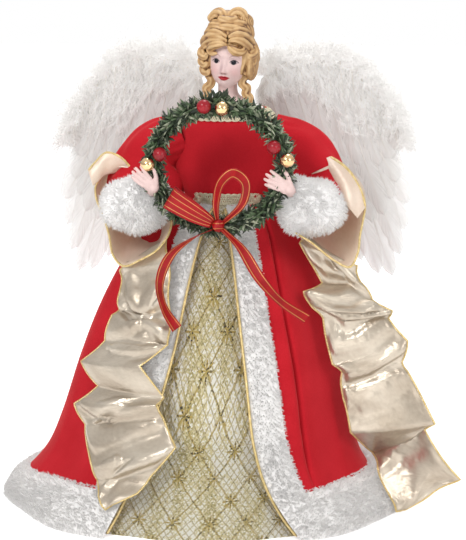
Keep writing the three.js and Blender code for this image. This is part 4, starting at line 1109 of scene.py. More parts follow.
def makeBells(s):
    for word, side in sides.items():
        rim = closedLine(s["rims"][word], s["columns"])

        def place(across, down):
            goal = rim[round(across * s["columns"]) % s["columns"]]
            angle = math.pi / 2 - turn * across
            start = armPoint(side, s["from"], angle, sleeveRadius(s["from"]) + s["inner"])
            centre, _outward, _up, ahead = armFrame(s["from"])
            away = (start - onSide(side, centre)).normalized()
            reach = (goal - start).length
            first = start + (onSide(side, ahead) * 0.4 + away * 0.25) * reach
            p = start * (1 - down) ** 2 + first * 2 * down * (1 - down) + goal * down**2
            ripple = math.sin(across * turn * 7 + 2 * side) * 1.4 * math.sin(math.pi * min(1, down * 0.8))
            return p + away * ripple

        made = gridPiece(f"satinFlare_{word}", "satinLining", place, s["rows"], s["columns"], (230, 60),
                         f"satin_bell_{word}", s["wall"])
        goldEdge(f"flareEdge_{word}", rim, s["edge"], True)
        outer, inner = s["pleats"][word]["edge"], s["pleats"][word]["root"]

        def pleat(across, down):
            swell = Vector(s["pleatSwell"]) * math.sin(math.pi * down) * math.sin(math.pi * across)
            return splineAt(inner, across).lerp(splineAt(outer, across), down) + swell

        made = gridPiece(f"flarePleat_{word}", "satinLining", pleat, 16, 48, (60, 20), wall=s["wall"])
        goldEdge(f"pleatEdge_{word}", [pleat(k / 40, 1) for k in range(41)], s["edge"])


makeBells(bellLooks)

# Cascades: satin strips with pressed pleats. Each row is a fold from one gold edge to the other, as angle from the
# front, share of the way down the coat, and stand off it. Creases are given as share across and place in the rows
cascadeLooks = {
    "columns": 36,
    "between": 12,
    "edge": 0.8,
    "sag": 1.4,
    "ridge": 2.6,
    "sharp": 0.085,
    # a hollow beside each ridge: how far from it, how wide and how deep
    "hollow": (0.11, 0.09, 0.8),
    "pleat": 23.0,
    "width": 50,
    "least": 7.0,
    "wall": 0.5,
    "cut": 56,
    "creases": {
        "left": [
            [(0.12, 0.45), (0.2, 1.95), (0.35, 2.9), (0.55, 3.25), (0.7, 2.75), (0.82, 2.15)],
            [(0.53, 4.1), (0.6, 3), (0.93, 2.5)],
            [(0.05, 2.95), (0.45, 3.65), (0.78, 4.05), (0.97, 4.8)],
            [(0.15, 8.05), (0.33, 8.6), (0.57, 7.8)],
            [(0, 9.2), (0.12, 9.65), (0.33, 9.55), (0.65, 9.3), (0.93, 9.2)],
            [(0, 11.35), (0.38, 10.8), (0.65, 10.5), (0.88, 10.35)],
            [(0.35, 5.35), (0.72, 5.4), (1, 5.25)],
            [(0.12, 11.8), (0.28, 10.95), (0.35, 10.25)],
        ],
        "right": [
            [(0.03, 3.1), (0.2, 4.15), (0.6, 4.25), (1, 3.4)],
            [(0.03, 3.5), (0.35, 5.1), (0.97, 4.35)],
            [(0.07, 5.75), (0.47, 5.8), (1, 5.35)],
            [(0, 6.45), (0.12, 7.3), (0.47, 7.25), (0.93, 6.45)],
            [(0.05, 8.25), (0.38, 8.2), (0.78, 8.05)],
            [(0.03, 8), (0.23, 8.3), (0.57, 8.2), (1, 8)],
            [(0, 11.1), (0.35, 10.25), (0.7, 9.95)],
            [(0.72, 12.1), (0.65, 11), (0.9, 10.8), (0.97, 10.95)],
            [(0.62, 1.4), (0.8, 1.9), (1, 2.55)],
            [(0.05, 1.45), (0.25, 1.7), (0.65, 1.75)],
        ],
    },
    "rows": {
        "left": [
            [(-55.8, 0.328, 20), (-34.7, 0.209, 18)],
            [(-58.1, 0.352, 16), (-25.8, 0.29, 20)],
            [(-52, 0.389, 16), (-22.9, 0.357, 15)],
            [(-50.5, 0.428, 12), (-19.6, 0.417, 12)],
            [(-51.8, 0.442, 15), (-17.3, 0.455, 14)],
            [(-53.3, 0.5, 11), (-17.8, 0.486, 11)],
            [(-61.1, 0.548, 18), (-26.2, 0.529, 18)],
            [(-50, 0.586, 9), (-15.5, 0.586, 10)],
            [(-56.5, 0.62, 18), (-17, 0.596, 16)],
            [(-51.2, 0.655, 9), (-14.7, 0.619, 10)],
            [(-38.8, 0.738, 17), (-7.7, 0.664, 17)],
            [(-35.1, 0.794, 11), (-15.1, 0.753, 11)],
            [(-31.0, 0.84, 14), (-18.0, 0.81, 14)],
            [(-26.7, 0.883, 11), (-25.2, 0.862, 11)],
        ],
        "right": [
            [(61.1, 0.194, 18), (66, 0.306, 35.1)],
            [(53.9, 0.236, 17), (68, 0.316, 47.9)],
            [(61.5, 0.367, 16), (69, 0.363, 43.5)],
            [(48.8, 0.381, 12), (69, 0.404, 49.1)],
            [(53.1, 0.42, 11), (70, 0.426, 62.7)],
            [(56.6, 0.444, 14), (70, 0.443, 57.6)],
            [(58.6, 0.543, 12), (71, 0.492, 68.2)],
            [(61.9, 0.56, 16), (71, 0.538, 60.4)],
            [(63.1, 0.608, 12), (72, 0.559, 62.9)],
            [(63.1, 0.672, 14), (73, 0.65, 78)],
            [(81, 0.773, 13), (73, 0.664, 68.6)],
            [(75.2, 0.811, 16), (74, 0.824, 83.7)],
            [(71.7, 0.90, 14), (74, 0.89, 52.4)],
            [(68.3, 0.981, 9), (72, 0.985, 12)],
        ],
    },
}


def nearest(lines, p):
    # The distance from p to the nearest of the lines, and on which side of it p lies
    best = (9.0, 1)
    for line in lines:
        for a, b in zip(line, line[1:]):
            way = b - a
            share = min(1, max(0, (p - a).dot(way) / way.length_squared))
            off = p - a - way * share
            best = min(best, (off.length, 1 if way.cross(off) > 0 else -1))
    return best


def makeCascades(s):
    for word, side in sides.items():
        # Creases are set in rows; here a row counts as much as its part of the strip's width
        lines = [[Vector((a, b * s["pleat"] / s["width"])) for a, b in line] for line in s["creases"][word]]
        rows = s["rows"][word]
        count = (len(rows) - 1) * s["between"]

        def place(across, down):
            row = down * (len(rows) - 1)
            k = min(int(row + 1e-6), len(rows) - 2)
            share = row - k
            low = [mix(a, b, across) for a, b in zip(*rows[k])]
            high = [mix(a, b, across) for a, b in zip(*rows[k + 1])]
            angle, drop, stand = (mix(a, b, share) for a, b in zip(low, high))
            sag = s["sag"] * math.sin(math.pi * share) * (-1 if k % 2 else 1)
            roll = noise.noise(Vector((across * 3, row * 1.1, 3.3))) * 1.5
            return skirtPoint(rad(angle), drop, max(s["least"], stand + sag + roll), 0)

        bm = bmesh.new()
        shares = shapedGrid(bm, count, s["columns"], place, (s["width"], 320))
        bm.normal_update()
        folds = {}
        for v, (across, down) in shares.items():
            off, above = nearest(lines, Vector((across, down * (len(rows) - 1) * s["pleat"] / s["width"])))
            away, wide, deep = s["hollow"]
            fold = math.exp(-((off / s["sharp"]) ** 1.2)) - deep * above * math.exp(-(((off - away) / wide) ** 2))
            fold *= s["ridge"] * ease(min(across, 1 - across) * 12) * mix(1, 0.45, ease((down - 0.75) * 6))
            folds[v] = v.normal * (fold if v.normal.y < 0 else -fold) * mm
        for v, fold in folds.items():
            v.co += fold
        made = finishPiece(f"satinCascade_{word}", bm, "satinChampagne", f"cascade_{word}", wall=s["wall"])
        route = [place(0, k / count) for k in range(count + 1)]
        route += [place(k / 8, 1) for k in range(1, 8)]
        route += [place(1, 1 - k / count) for k in range(count + 1)]
        goldEdge(f"cascadeEdge_{word}", route, s["edge"])


makeCascades(cascadeLooks)
print("sleeves, cuffs and satin made")

# Torso: bodice and its laces
torso = {
    "bottom": 236.3,
    "top": 327.0,
    "waist": (30.0, 23.0),
    "chest": (39.0, 30.0),
    "shares": [(0, -0.1), (0.12, 0), (0.3, 0.35), (0.5, 0.8), (0.68, 1), (0.84, 0.95), (0.92, 0.55), (0.97, 0),
               (1, -0.7)],
}
torsoLine = tableOf(
    [
        (mix(torso["waist"][0], torso["chest"][0], out), mix(torso["waist"][1], torso["chest"][1], out),
         mix(torso["bottom"], torso["top"], up))
        for up, out in torso["shares"]
    ],
    200,
)


def torsoPoint(angle, height, out):
    k = min(range(200), key=lambda i: abs(torsoLine[i].z - height))
    near, far = torsoLine[k], torsoLine[k + 1]
    share = 0 if far.z == near.z else (height - near.z) / (far.z - near.z)
    size = near.lerp(far, share)
    return Vector(((size.x + out) * math.sin(angle), -(size.y + out) * math.cos(angle), height))


bodiceLooks = {"low": 246.5, "high": 324.4, "rows": 50, "columns": 96, "out": 0.9, "wrinkle": 1.1, "blouse": 8.0,
               "cut": 225}
laceLooks = {"waist": (251.8, 4.4), "neckline": (320.0, 4.2), "strand": 0.5, "border": 0.7, "waves": 22, "out": 2.3,
             "strands": 6}


def makeBodice(s):
    def place(across, down):
        angle = turn * across
        height = mix(s["high"], s["low"], down)
        low = max(0, 1 - (height - s["low"]) / 30)
        fold = noise.noise(Vector((math.sin(angle) * 2.2, math.cos(angle) * 2.2, height / 26)))
        gather = math.sin(angle * 24 + 2 * math.sin(angle * 3)) * 0.35 * low
        blouse = s["blouse"] * abs(math.sin(angle)) ** 3 * math.exp(-(((height - 271) / 18) ** 2))
        return torsoPoint(angle, height, s["out"] + s["wrinkle"] * fold * (0.4 + low) + gather + blouse)

    made = gridPiece("bodiceCloth", "velvetRed", place, s["rows"], s["columns"], (220, 80), "bodice", 0.8)


def makeLaces(s):
    for word in ("waist", "neckline"):
        middle, half = s[word]
        count = s["waves"] * 14
        bm = bmesh.new()
        angles = [turn * k / count for k in range(count)]
        for strand in range(s["strands"]):
            route = []
            for angle in angles:
                phase = angle * s["waves"] + strand * turn / s["strands"]
                swing, lift = half * 0.86 * math.sin(phase), 0.45 * math.cos(2 * phase + strand)
                route.append(torsoPoint(angle, middle + swing, s["out"] + lift))
            threadInto(bm, route, s["strand"], cyclic=True, around=5)
        for edge in (-1, 1):
            route = [
                torsoPoint(angle, middle + edge * (half - 0.8 + 0.7 * abs(math.sin(angle * s["waves"]))), s["out"])
                for angle in angles
            ]
            threadInto(bm, route, s["border"], cyclic=True, around=5)
        finishPiece(f"braidedLace_{word}", bm, "laceGold", f"{word}_lace")


makeBodice(bodiceLooks)
makeLaces(laceLooks)
print("torso made")

# Wings: flat feathers in the wing's own plane, x outwards and y up from the hinge, swept back about it
wing = {
    "hinge": (14.0, 35.7, 304.2),
    "sweep": 12,
    "span": 136.0,
    "top": 59.0,
    "drop": 128.0,
    "edge": [(0.08, 0.7), (0.23, 0.95), (0.45, 1), (0.64, 0.86), (0.79, 0.5), (0.9, 0.1), (0.96, -0.3)],
    "tips": [(0.36, 0.42), (0.55, 0.68), (0.74, 0.9), (0.9, 1), (0.97, 0.78), (1, 0.5)],
}
wingEdge = [(x * wing["span"], y * wing["top"], 0) for x, y in wing["edge"]]
wingTips = [(x * wing["span"], -y * wing["drop"], 0) for x, y in wing["tips"]]


def wingPoint(side, x, y, behind):
    c, s = math.cos(rad(wing["sweep"])), math.sin(rad(wing["sweep"]))
    ox, oy, oz = wing["hinge"]
    return Vector((side * (x * c - behind * s + ox), x * s + behind * c + oy, y + oz))


# One feather: root and tip in the wing's plane, its vane split here and there, and its shaft
featherLooks = {
    "rows": 26,
    "columns": 10,
    "camber": 1.6,
    "notch": 0.22,
    "shaft": 0.55,
    # count, width, bow, from and to along the wing's edge, how near it, from and to along the tips, how far to them,
    # level and its step
    "flight": [(9, 31.0, -3.5, (0.04, 0.80), 0.84, (0.0, 1.0), 1.0, -0.5, 0.9),
               (8, 29.0, -3, (0.06, 0.78), 0.84, (0.02, 0.98), 0.72, -1.9, -0.5)],
    "covert": [(10, 23.0, -2, (0.05, 0.84), 0.88, (0.0, 1.0), 0.45, -3.4, -0.5),
               (14, 16.0, -1.5, (0.03, 0.90), 0.99, (0.0, 1.0), 0.26, -4.8, -0.5)],
}


def featherInto(vanes, shafts, side, root, tip, width, level, bow, seed, s):
    dice = random.Random(seed)
    root, tip = Vector(root), Vector(tip)
    run = tip - root
    aside = Vector((-run.y, run.x, 0)).normalized()
    length = run.length
    splits = [(dice.uniform(0.25, 0.95), dice.choice((-1, 1)), dice.uniform(0.4, 1)) for _ in range(5)]

    def middle(share):
        return root + run * share + aside * bow * math.sin(math.pi * share)

    def halfWidth(share, edge):
        swell = math.sin(math.pi * min(1, max(0, share)) ** 0.66) ** 0.4 if 0 < share < 1 else 0
        notch = sum(
            depth * s["notch"] * math.exp(-(((share - place) / 0.018) ** 2))
            for place, which, depth in splits
            if which == edge
        )
        return width / 2 * swell * (1 - notch) * (0.85 if edge < 0 else 1.0)

    def place(across, down):
        t = 2 * across - 1
        edge = 1 if t > 0 else -1
        flat = middle(down) + aside * t * halfWidth(down, edge) + run.normalized() * abs(t) * width * 0.12 * down
        ripple = 0.25 * math.sin(down * 30 + t * 4 + seed)
        behind = level + s["camber"] * t * t * 0.7 + ripple * abs(t) + 1.5 * down**3
        return wingPoint(side, flat.x, flat.y, behind)

    def cloth(across, down):
        return ((across - 0.5) * width, down * length)

    shapedGrid(vanes, s["rows"], s["columns"], place, uvAt=cloth)
    route = []
    for k in range(13):
        m = middle(k / 12 * 0.97)
        route.append(wingPoint(side, m.x, m.y, level - 0.35 + 1.5 * (k / 12 * 0.97) ** 3))
    threadInto(shafts, route, s["shaft"], around=5, taper=lambda d: mix(1.0, 0.12, d) if d < 0.999 else 0.0)


plumeSettings = {
    "variants": 6,
    "hairs": 14,
    "span": (0.12, 0.95),
    "bend": 0.35,
    "lean": (0.5, 1.1),
    "aside": 0.6,
    "lengths": (0.5, 0.22),
    "uneven": (0.7, 1.2),
    "base": 0.016,
    "tip": 0.004,
}


def makePlumes(s, seed):
    # A marabou plume: a bent stem with fine hairs on both sides, one unit long
    dice = random.Random(seed)
    made = []
    for _ in range(s["variants"]):
        bm = bmesh.new()
        bend = dice.uniform(-s["bend"], s["bend"])

        def stem(up):
            return Vector((bend * up * up, 0.1 * math.sin(up * 4), up))

        for k in range(s["hairs"]):
            up = mix(*s["span"], k / (s["hairs"] - 1))
            lean = dice.uniform(*s["lean"])
            side = 1 if k % 2 else -1
            out = Vector((side * math.sin(lean), dice.uniform(-s["aside"], s["aside"]), math.cos(lean))).normalized()
            long = mix(*s["lengths"], up) * dice.uniform(*s["uneven"])
            turned = out.to_track_quat("Z", "Y").to_matrix()
            for v in taperedHair(bm, s["base"], s["tip"]):
                v.co = stem(up) + turned @ Vector((v.co.x, v.co.y, (v.co.z + 0.5) * long))
        made.append(meshOf("plume", bm))
    return made


plumes = makePlumes(plumeSettings, 9)
fluffLooks = {
    "plumes": 1250,
    "length": 14.5,
    "around": 0.62,
    "out": 2.5,
    "wisps": 0.1,
    "wispsFrom": 0.3,
    "wispLength": 1.5,
    "core": 4.2,
    "coreAt": 0.955,
    "down": 420,
    "downLength": 11.0,
    "downLevel": -5.4,
}


def wingDirection(side, x, y, behind):
    return wingPoint(side, x, y, behind) - wingPoint(side, 0, 0, 0)


def makeWings(s, f):
    for word, side in sides.items():
        body = f"wing_{word}"
        seed = 100 + side
        nodes = {"flight": f"wing_feathers_{word}", "covert": f"wing_coverts_{word}"}
        for kind, node in nodes.items():
            vanes, shafts = bmesh.new(), bmesh.new()
            for count, width, bow, roots, near, tips, reach, level, step in s[kind]:
                for k in range(count):
                    share = k / (count - 1)
                    root = splineAt(wingEdge, mix(*roots, share)) * near
                    tip = root.lerp(splineAt(wingTips, mix(*tips, share)), reach)
                    featherInto(vanes, shafts, side, root, tip, width, level + step * (k % 2), bow, seed + 3 * k, s)
                seed += 200
            finishPiece(f"{kind}Vanes_{word}", vanes, "featherVane", node, body)
            finishPiece(f"{kind}Shafts_{word}", shafts, "shaftIvory", ridesOn=body)

        # Marabou on the upper and outer edge, and down over the coverts
        bm = bmesh.new()
        route = []
        for k in range(41):
            p = splineAt(wingEdge, mix(0.02, 0.98, k / 40)) * f["coreAt"]
            route.append(wingPoint(side, p.x, p.y, 0))
        threadInto(bm, route, f["core"], around=10, taper=lambda d: math.sin(math.pi * d) ** 0.3)
        dice = random.Random(100 + side)
        placements = []
        for _ in range(f["plumes"]):
            t = dice.random()
            p = splineAt(wingEdge, t)
            ahead = (splineAt(wingEdge, t + 0.01) - splineAt(wingEdge, t - 0.01)).normalized()
            outward = Vector((-ahead.y, ahead.x, 0))
            roll = dice.uniform(-f["around"], f["around"]) * math.pi
            growth = outward * math.cos(roll) + ahead * dice.uniform(-0.1, 0.9)
            direction = wingDirection(side, growth.x, growth.y, math.sin(roll) * 0.9).normalized()
            base = p + outward * math.cos(roll) * f["out"]
            start = wingPoint(side, base.x, base.y, math.sin(roll) * f["out"])
            long = f["length"] * dice.uniform(0.6, 1.15)
            if dice.random() < f["wisps"] and t > f["wispsFrom"]:
                # A few stand out further, but not where the two wings meet when folded
                long *= f["wispLength"]
            wild = stray(dice, 0.2, 0.2, 0.2)
            placements.append((dice.choice(plumes), standing(start, direction, wild, long, long, dice)))
        for _ in range(f["down"]):
            t = dice.random()
            root = splineAt(wingEdge, mix(0.03, 0.9, t)) * mix(0.97, 0.60, dice.random() ** 1.5)
            tip = splineAt(wingTips, t)
            lie = (tip - root).normalized()
            direction = wingDirection(side, lie.x, lie.y, -0.12).normalized()
            start = wingPoint(side, root.x, root.y, f["downLevel"])
            long = f["downLength"] * dice.uniform(0.7, 1.3)
            wild = stray(dice, 0.25, 0.15, 0.25)
            placements.append((dice.choice(plumes), standing(start, direction, wild, long, long, dice)))
        scatter(bm, plumes, placements)
        finishPiece(f"marabou_{word}", bm, "featherWhite", f"wing_fluff_{word}", body, merge=False)


makeWings(featherLooks, fluffLooks)
print("wings made")

# Wreath: green needles on a twig core, berries and gold balls
wreath = {
    "centre": (0.0, -80.0, 286.0),
    "half": (51.0, 47.0),
    "core": 3.4,
    "needle": 10.5,
    "thick": 2.1,
    "count": 2100,
    "uneven": (0.75, 1.1),
    "along": (0.35, 1.5),
    "sunk": 0.6,
    "stray": 0.15,
    "sprig": 16,
    "sprigAt": (0.235, 0.285),
    "sprigThick": 1.1,
    "shares": {"Dark": 0.4, "Mid": 0.4, "Pale": 0.2},
    "ballRoom": 0.4,
    "rootRoom": 0.8,
    "hand": (52.4, -89.0, 272.5),
    "handRoom": 8.5,
}


def wreathPoint(angle, outward=0.0):
    x, y, z = wreath["centre"]
    return Vector((
        x + (wreath["half"][0] + outward) * math.cos(angle),
        y,
        z + (wreath["half"][1] + outward) * math.sin(angle),
    ))


needleSettings = {"variants": 8, "cuts": 3, "bend": 0.14, "bow": 8, "flat": 0.45, "tip": 0.1}


def makeNeedles(s, seed):
    # A pointed, slightly bent needle, one unit long
    dice = random.Random(seed)
    made = []
    for _ in range(s["variants"]):
        bm = bmesh.new()
        bmesh.ops.create_cone(bm, segments=4, radius1=0.5, radius2=0.5, depth=1.0, cap_ends=False, cap_tris=False)
        bmesh.ops.subdivide_edges(
            bm, edges=[e for e in bm.edges if abs(e.verts[0].co.z - e.verts[1].co.z) > 0.5], cuts=s["cuts"]
        )
        bend = dice.uniform(-s["bend"], s["bend"])
        for v in bm.verts:
            up = v.co.z + 0.5
            size = 0.55 + 0.6 * math.sin(math.pi * min(1, up * 1.05)) if up < 0.98 else s["tip"]
            v.co = Vector((v.co.x * size + bend * up * up * s["bow"], v.co.y * size * s["flat"], up))
        bmesh.ops.remove_doubles(bm, verts=bm.verts, dist=0.001)
        made.append(meshOf("needle", bm))
    return made


needles = makeNeedles(needleSettings, 3)


def makeWreath(s):
    bm = bmesh.new()
    threadInto(bm, [wreathPoint(turn * k / 90) for k in range(90)], s["core"], cyclic=True, around=10)
    finishPiece("wreathTwig", bm, "needleDark", "wreath_garland")
    dice = random.Random(21)
    for kind, share in s["shares"].items():
        bm = bmesh.new()
        placements = []
        for _ in range(round(s["count"] * share)):
            angle = dice.uniform(0, turn)
            hub = wreathPoint(angle)
            ahead = (wreathPoint(angle + 0.01) - hub).normalized()
            outward = (wreathPoint(angle, 1) - hub).normalized()
            roll = dice.uniform(0, turn)
            out = outward * math.cos(roll) + Vector((0, -1, 0)) * math.sin(roll)
            direction = out + ahead * dice.choice((-1, 1)) * dice.uniform(*s["along"])
            long = s["needle"] * dice.uniform(*s["uneven"])
            base = hub + out * s["core"] * s["sunk"]
            tip = base + direction.normalized() * long
            near = s["rootRoom"]
            if any((tip - centre).length < room or (base - centre).length < room * near for centre, room in clear):
                continue
            wild = stray(dice, s["stray"], s["stray"], s["stray"])
            placements.append(
                (dice.choice(needles), standing(base, direction.normalized(), wild, long, s["thick"], dice))
            )
        for k in range(s["sprig"] if kind == "Dark" else 0):
            # A sprig stands up in front of the neck
            base = wreathPoint(turn * mix(*s["sprigAt"], dice.random()), dice.uniform(1, 4)) + Vector((0, -2, 0))
            direction = Vector((mix(-0.5, 0.9, k / s["sprig"]) + dice.gauss(0, 0.1), -0.2, 1)).normalized()
            wild = Vector((dice.gauss(0, 0.1), 0, 0))
            long = s["needle"] * dice.uniform(0.9, 1.15)
            thick = s["thick"] * s["sprigThick"]
            placements.append((dice.choice(needles), standing(base, direction, wild, long, thick, dice)))
        scatter(bm, needles, placements)
        finishPiece(f"wreathNeedles{kind}", bm, f"needle{kind}", merge=False)


def nodeBall(node):
    low, high = (Vector(corner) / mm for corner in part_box(node))
    return (low + high) / 2, max(high - low) / 2


ballNodes = {
    f"{kind}_{where}": look
    for kind, look in (("berry", "berryRed"), ("ornament", "goldBall"))
    for where in ("top", "left", "right")
}
# Where no needle may reach: the balls and the hands
clear = [(centre, radius + wreath["ballRoom"]) for centre, radius in (nodeBall(node) for node in ballNodes)]
clear += [(onSide(side, wreath["hand"]), wreath["handRoom"]) for side in (-1, 1)]


def makeBalls():
    for node, look in ballNodes.items():
        centre, radius = nodeBall(node)
        bm = bmesh.new()
        made = bmesh.ops.create_uvsphere(bm, u_segments=40, v_segments=24, radius=radius * mm)["verts"]
        for v in made:
            # A small dimple where the wire goes in, towards the wreath
            away = v.co.normalized()
            dimple = max(0, away.y - 0.93) / 0.07
            v.co = (away * (radius * (1 - 0.12 * dimple)) + centre) * mm
        finishPiece(node.replace("_", "Ball_"), bm, look, node)


makeWreath(wreath)
makeBalls()
print("wreath made")

# Bow of sheer ribbon with gold lines
bow = {
    "knot": (0.0, -88.8, 240.9),
    "radius": 5.0,
    "knotShape": (0.92, 0.95, 1),
    "ribbon": 10.0,
    "loopWidth": 19.0,
    "loopReach": 36.0,
    "tailReach": 82.0,
    "clothWidth": 7.2,
    "wall": 0.25,
    "rows": 70,
    "columns": 12,
    "routes": {
        "loop_left": [(-0.12, -0.06, 0.06), (-0.5, -0.25, 0.3), (-1, -0.22, 0.6), (-1.04, -0.08, 0.62),
                      (-0.95, -0.02, 0.56), (-0.5, -0.05, 0.28), (-0.12, 0, 0.03)],
        "loop_right": [(-0.02, -0.04, 0.12), (-0.03, -0.16, 0.5), (0.08, -0.2, 0.95), (0.34, -0.2, 1.16),
                       (0.6, -0.2, 0.97), (0.55, -0.16, 0.52), (0.12, -0.03, 0.06)],
        "tail_left": [(-0.04, -0.02, -0.03), (-0.24, -0.05, -0.12), (-0.45, -0.06, -0.29), (-0.55, -0.06, -0.56),
                      (-0.51, -0.05, -0.8), (-0.39, -0.04, -1)],
        "tail_right": [(0.04, -0.02, -0.03), (0.22, -0.06, -0.2), (0.41, -0.07, -0.5), (0.61, -0.06, -0.72),
                       (0.85, -0.04, -0.88)],
    },
    "across": {"loop_left": (0.5, 0, 0.86), "loop_right": (0.35, 1, 0.15), "tail_left": (0.6, 0.75, 0.2),
               "tail_right": (0.5, 0.75, 0.35)},
}


def makeBow(s):
    knot = Vector(s["knot"])
    for word, shares in s["routes"].items():
        loop = word.startswith("loop")
        reach = s["loopReach"] if loop else s["tailReach"]
        width = s["loopWidth"] if word == "loop_left" else s["ribbon"]
        points = [Vector(p) * reach + knot for p in shares]
        lying = Vector(s["across"][word]).normalized()
        length = sum((b - a).length for a, b in zip(points, points[1:]))

        def place(across, down):
            t = 2 * across - 1
            if loop:
                full = mix(0.35, 1, max(0.0, math.sin(math.pi * down)) ** 0.6)
            else:
                full = mix(0.55, 1, min(1, 3 * down))
            centre = splineAt(points, down)
            lean = lying.copy()
            if word == "loop_right":
                ahead = splineAt(points, min(1, down + 0.01)) - splineAt(points, max(0, down - 0.01))
                lean = (ahead.cross(Vector((0, 1, 0))).normalized() * 0.75 + Vector((0, 0.66, 0))).normalized()
            if not loop:
                lean.rotate(Matrix.Rotation(0.35 * math.sin(down * 5), 3, "Y"))
                lean.rotate(Matrix.Rotation(0.3 * math.sin(down * 9 + 1), 3, "Z"))
            pucker = math.sin(t * 7) * 0.5 * max(0, 1 - 3 * min(down, 1 - down if loop else 1)) - 0.5 * t * t
            return centre + lean * (t * width / 2 * full) + Vector((0, pucker * 1.2, 0))

        def cloth(across, down):
            return ((across - 0.5) * (width if word == "loop_left" else s["clothWidth"]), down * length)

        bm = bmesh.new()
        shapedGrid(bm, s["rows"], s["columns"], place, uvAt=cloth)
        made = finishPiece(f"bowRibbon_{word}", bm, "organzaRed", f"bow_{word}", wall=s["wall"])
    bm = bmesh.new()
    made = bmesh.ops.create_uvsphere(bm, u_segments=48, v_segments=32, radius=1.0)["verts"]
    uvs = bm.loops.layers.uv.verify()
    places = {v: (math.atan2(v.co.x, -v.co.y) * 5, v.co.z * 5) for v in made}
    for face in bm.faces:
        for loop in face.loops:
            loop[uvs].uv = (places[loop.vert][1] * 1.2, places[loop.vert][0] * 1.5)
    for v in made:
        fold = 1 + 0.09 * math.sin(math.atan2(v.co.z, v.co.x) * 3 + 5 * v.co.y) + 0.05 * math.sin(v.co.x * 9)
        shaped = Vector([along * share for along, share in zip(v.co, s["knotShape"])])
        v.co = (shaped * s["radius"] * fold + knot) * mm
    finishPiece("bowKnotWrap", bm, "organzaRed", "bow_knot")


makeBow(bow)
print("bow made")

# Head: one porcelain casting of face, neck and shoulder plate, with painted features
head = {
    "chin": 342.0,
    "half": (16.5, 19.0),
    "tall": 41.0,
    "forward": 7.0,
    "roll": 5,
    "turned": 7,
    "rings": [(-0.005, 0, 0), (0, 0.2, 0.22), (0.08, 0.5, 0.5), (0.2, 0.74, 0.74), (0.36, 0.92, 0.92),
              (0.54, 1, 1), (0.72, 0.96, 0.97), (0.88, 0.72, 0.74), (1, 0.22, 0.24), (1.005, 0, 0)],
    "rows": 190,
    "columns": 230,
    "eyes": (7.2, 20.7),
    # name, middle across and up from the chin, spread across and up, how far it stands out
    "bumps": [
        ("socket", 7.2, 21.0, 3.8, 2.6, -1.7), ("lid", 7.2, 20.6, 2.6, 1.9, 1.0), ("brow", 7.0, 25.4, 4.6, 1.3, 0.8),
        ("cheek", 8.6, 14.0, 4.4, 4.0, 1.3), ("upperLip", 0.0, 8.9, 2.7, 0.75, 1.1),
        ("lowerLip", 0.0, 6.9, 2.2, 0.85, 1.3), ("mouth", 0.0, 7.85, 3.2, 0.32, -0.7),
        ("chin", 0.0, 2.6, 3.4, 2.2, 1.6), ("underLip", 0.0, 5.2, 2.6, 0.6, -0.5),
        ("nostril", 1.7, 12.2, 0.9, 0.8, 1.0), ("philtrum", 0.0, 10.4, 0.6, 0.9, -0.3),
    ],
    "skin": (0.76, 0.57, 0.545),
    "blush": (0.80, 0.36, 0.35),
    "lips": (0.46, 0.018, 0.030),
    "ink": (0.004, 0.004, 0.008),
    "mauve": (0.30, 0.17, 0.20),
    "eyeWhite": (0.34, 0.27, 0.30),
    "glint": (0.6, 0.6, 0.6),
    "browPaint": (0.30, 0.16, 0.12),
    "lipLine": (0.20, 0.010, 0.015),
    "nostrilShade": (0.30, 0.14, 0.13),
    # shoulder plate and neck: height, half width, half depth, how far forward
    "plate": [(327.3, 20, 15, 0), (327.6, 20.4, 15.4, 0), (330.6, 16.8, 12.8, 0), (333.6, 10.6, 9.6, 0.2),
              (336.5, 8.4, 8.2, 0.8), (340, 7.8, 7.9, 1.6), (345, 7.9, 8.2, 3.0), (352, 8.0, 8.6, 4.0)],
}
headTable = tableOf([(w, d, u) for u, w, d in head["rings"]], 300)


def bell(x, y, spreadX, spreadY):
    return math.exp(-((x / spreadX) ** 2 + (y / spreadY) ** 2) / 2)


def tiltHead(p):
    # Turns a point given across, forward and up from the chin, as the head is turned and rolled
    p = p.copy()
    p.rotate(Matrix.Rotation(-rad(head["turned"]), 3, "Z"))
    p.rotate(Matrix.Rotation(rad(head["roll"]), 3, "Y"))
    return p + Vector((0, -head["forward"], head["chin"]))


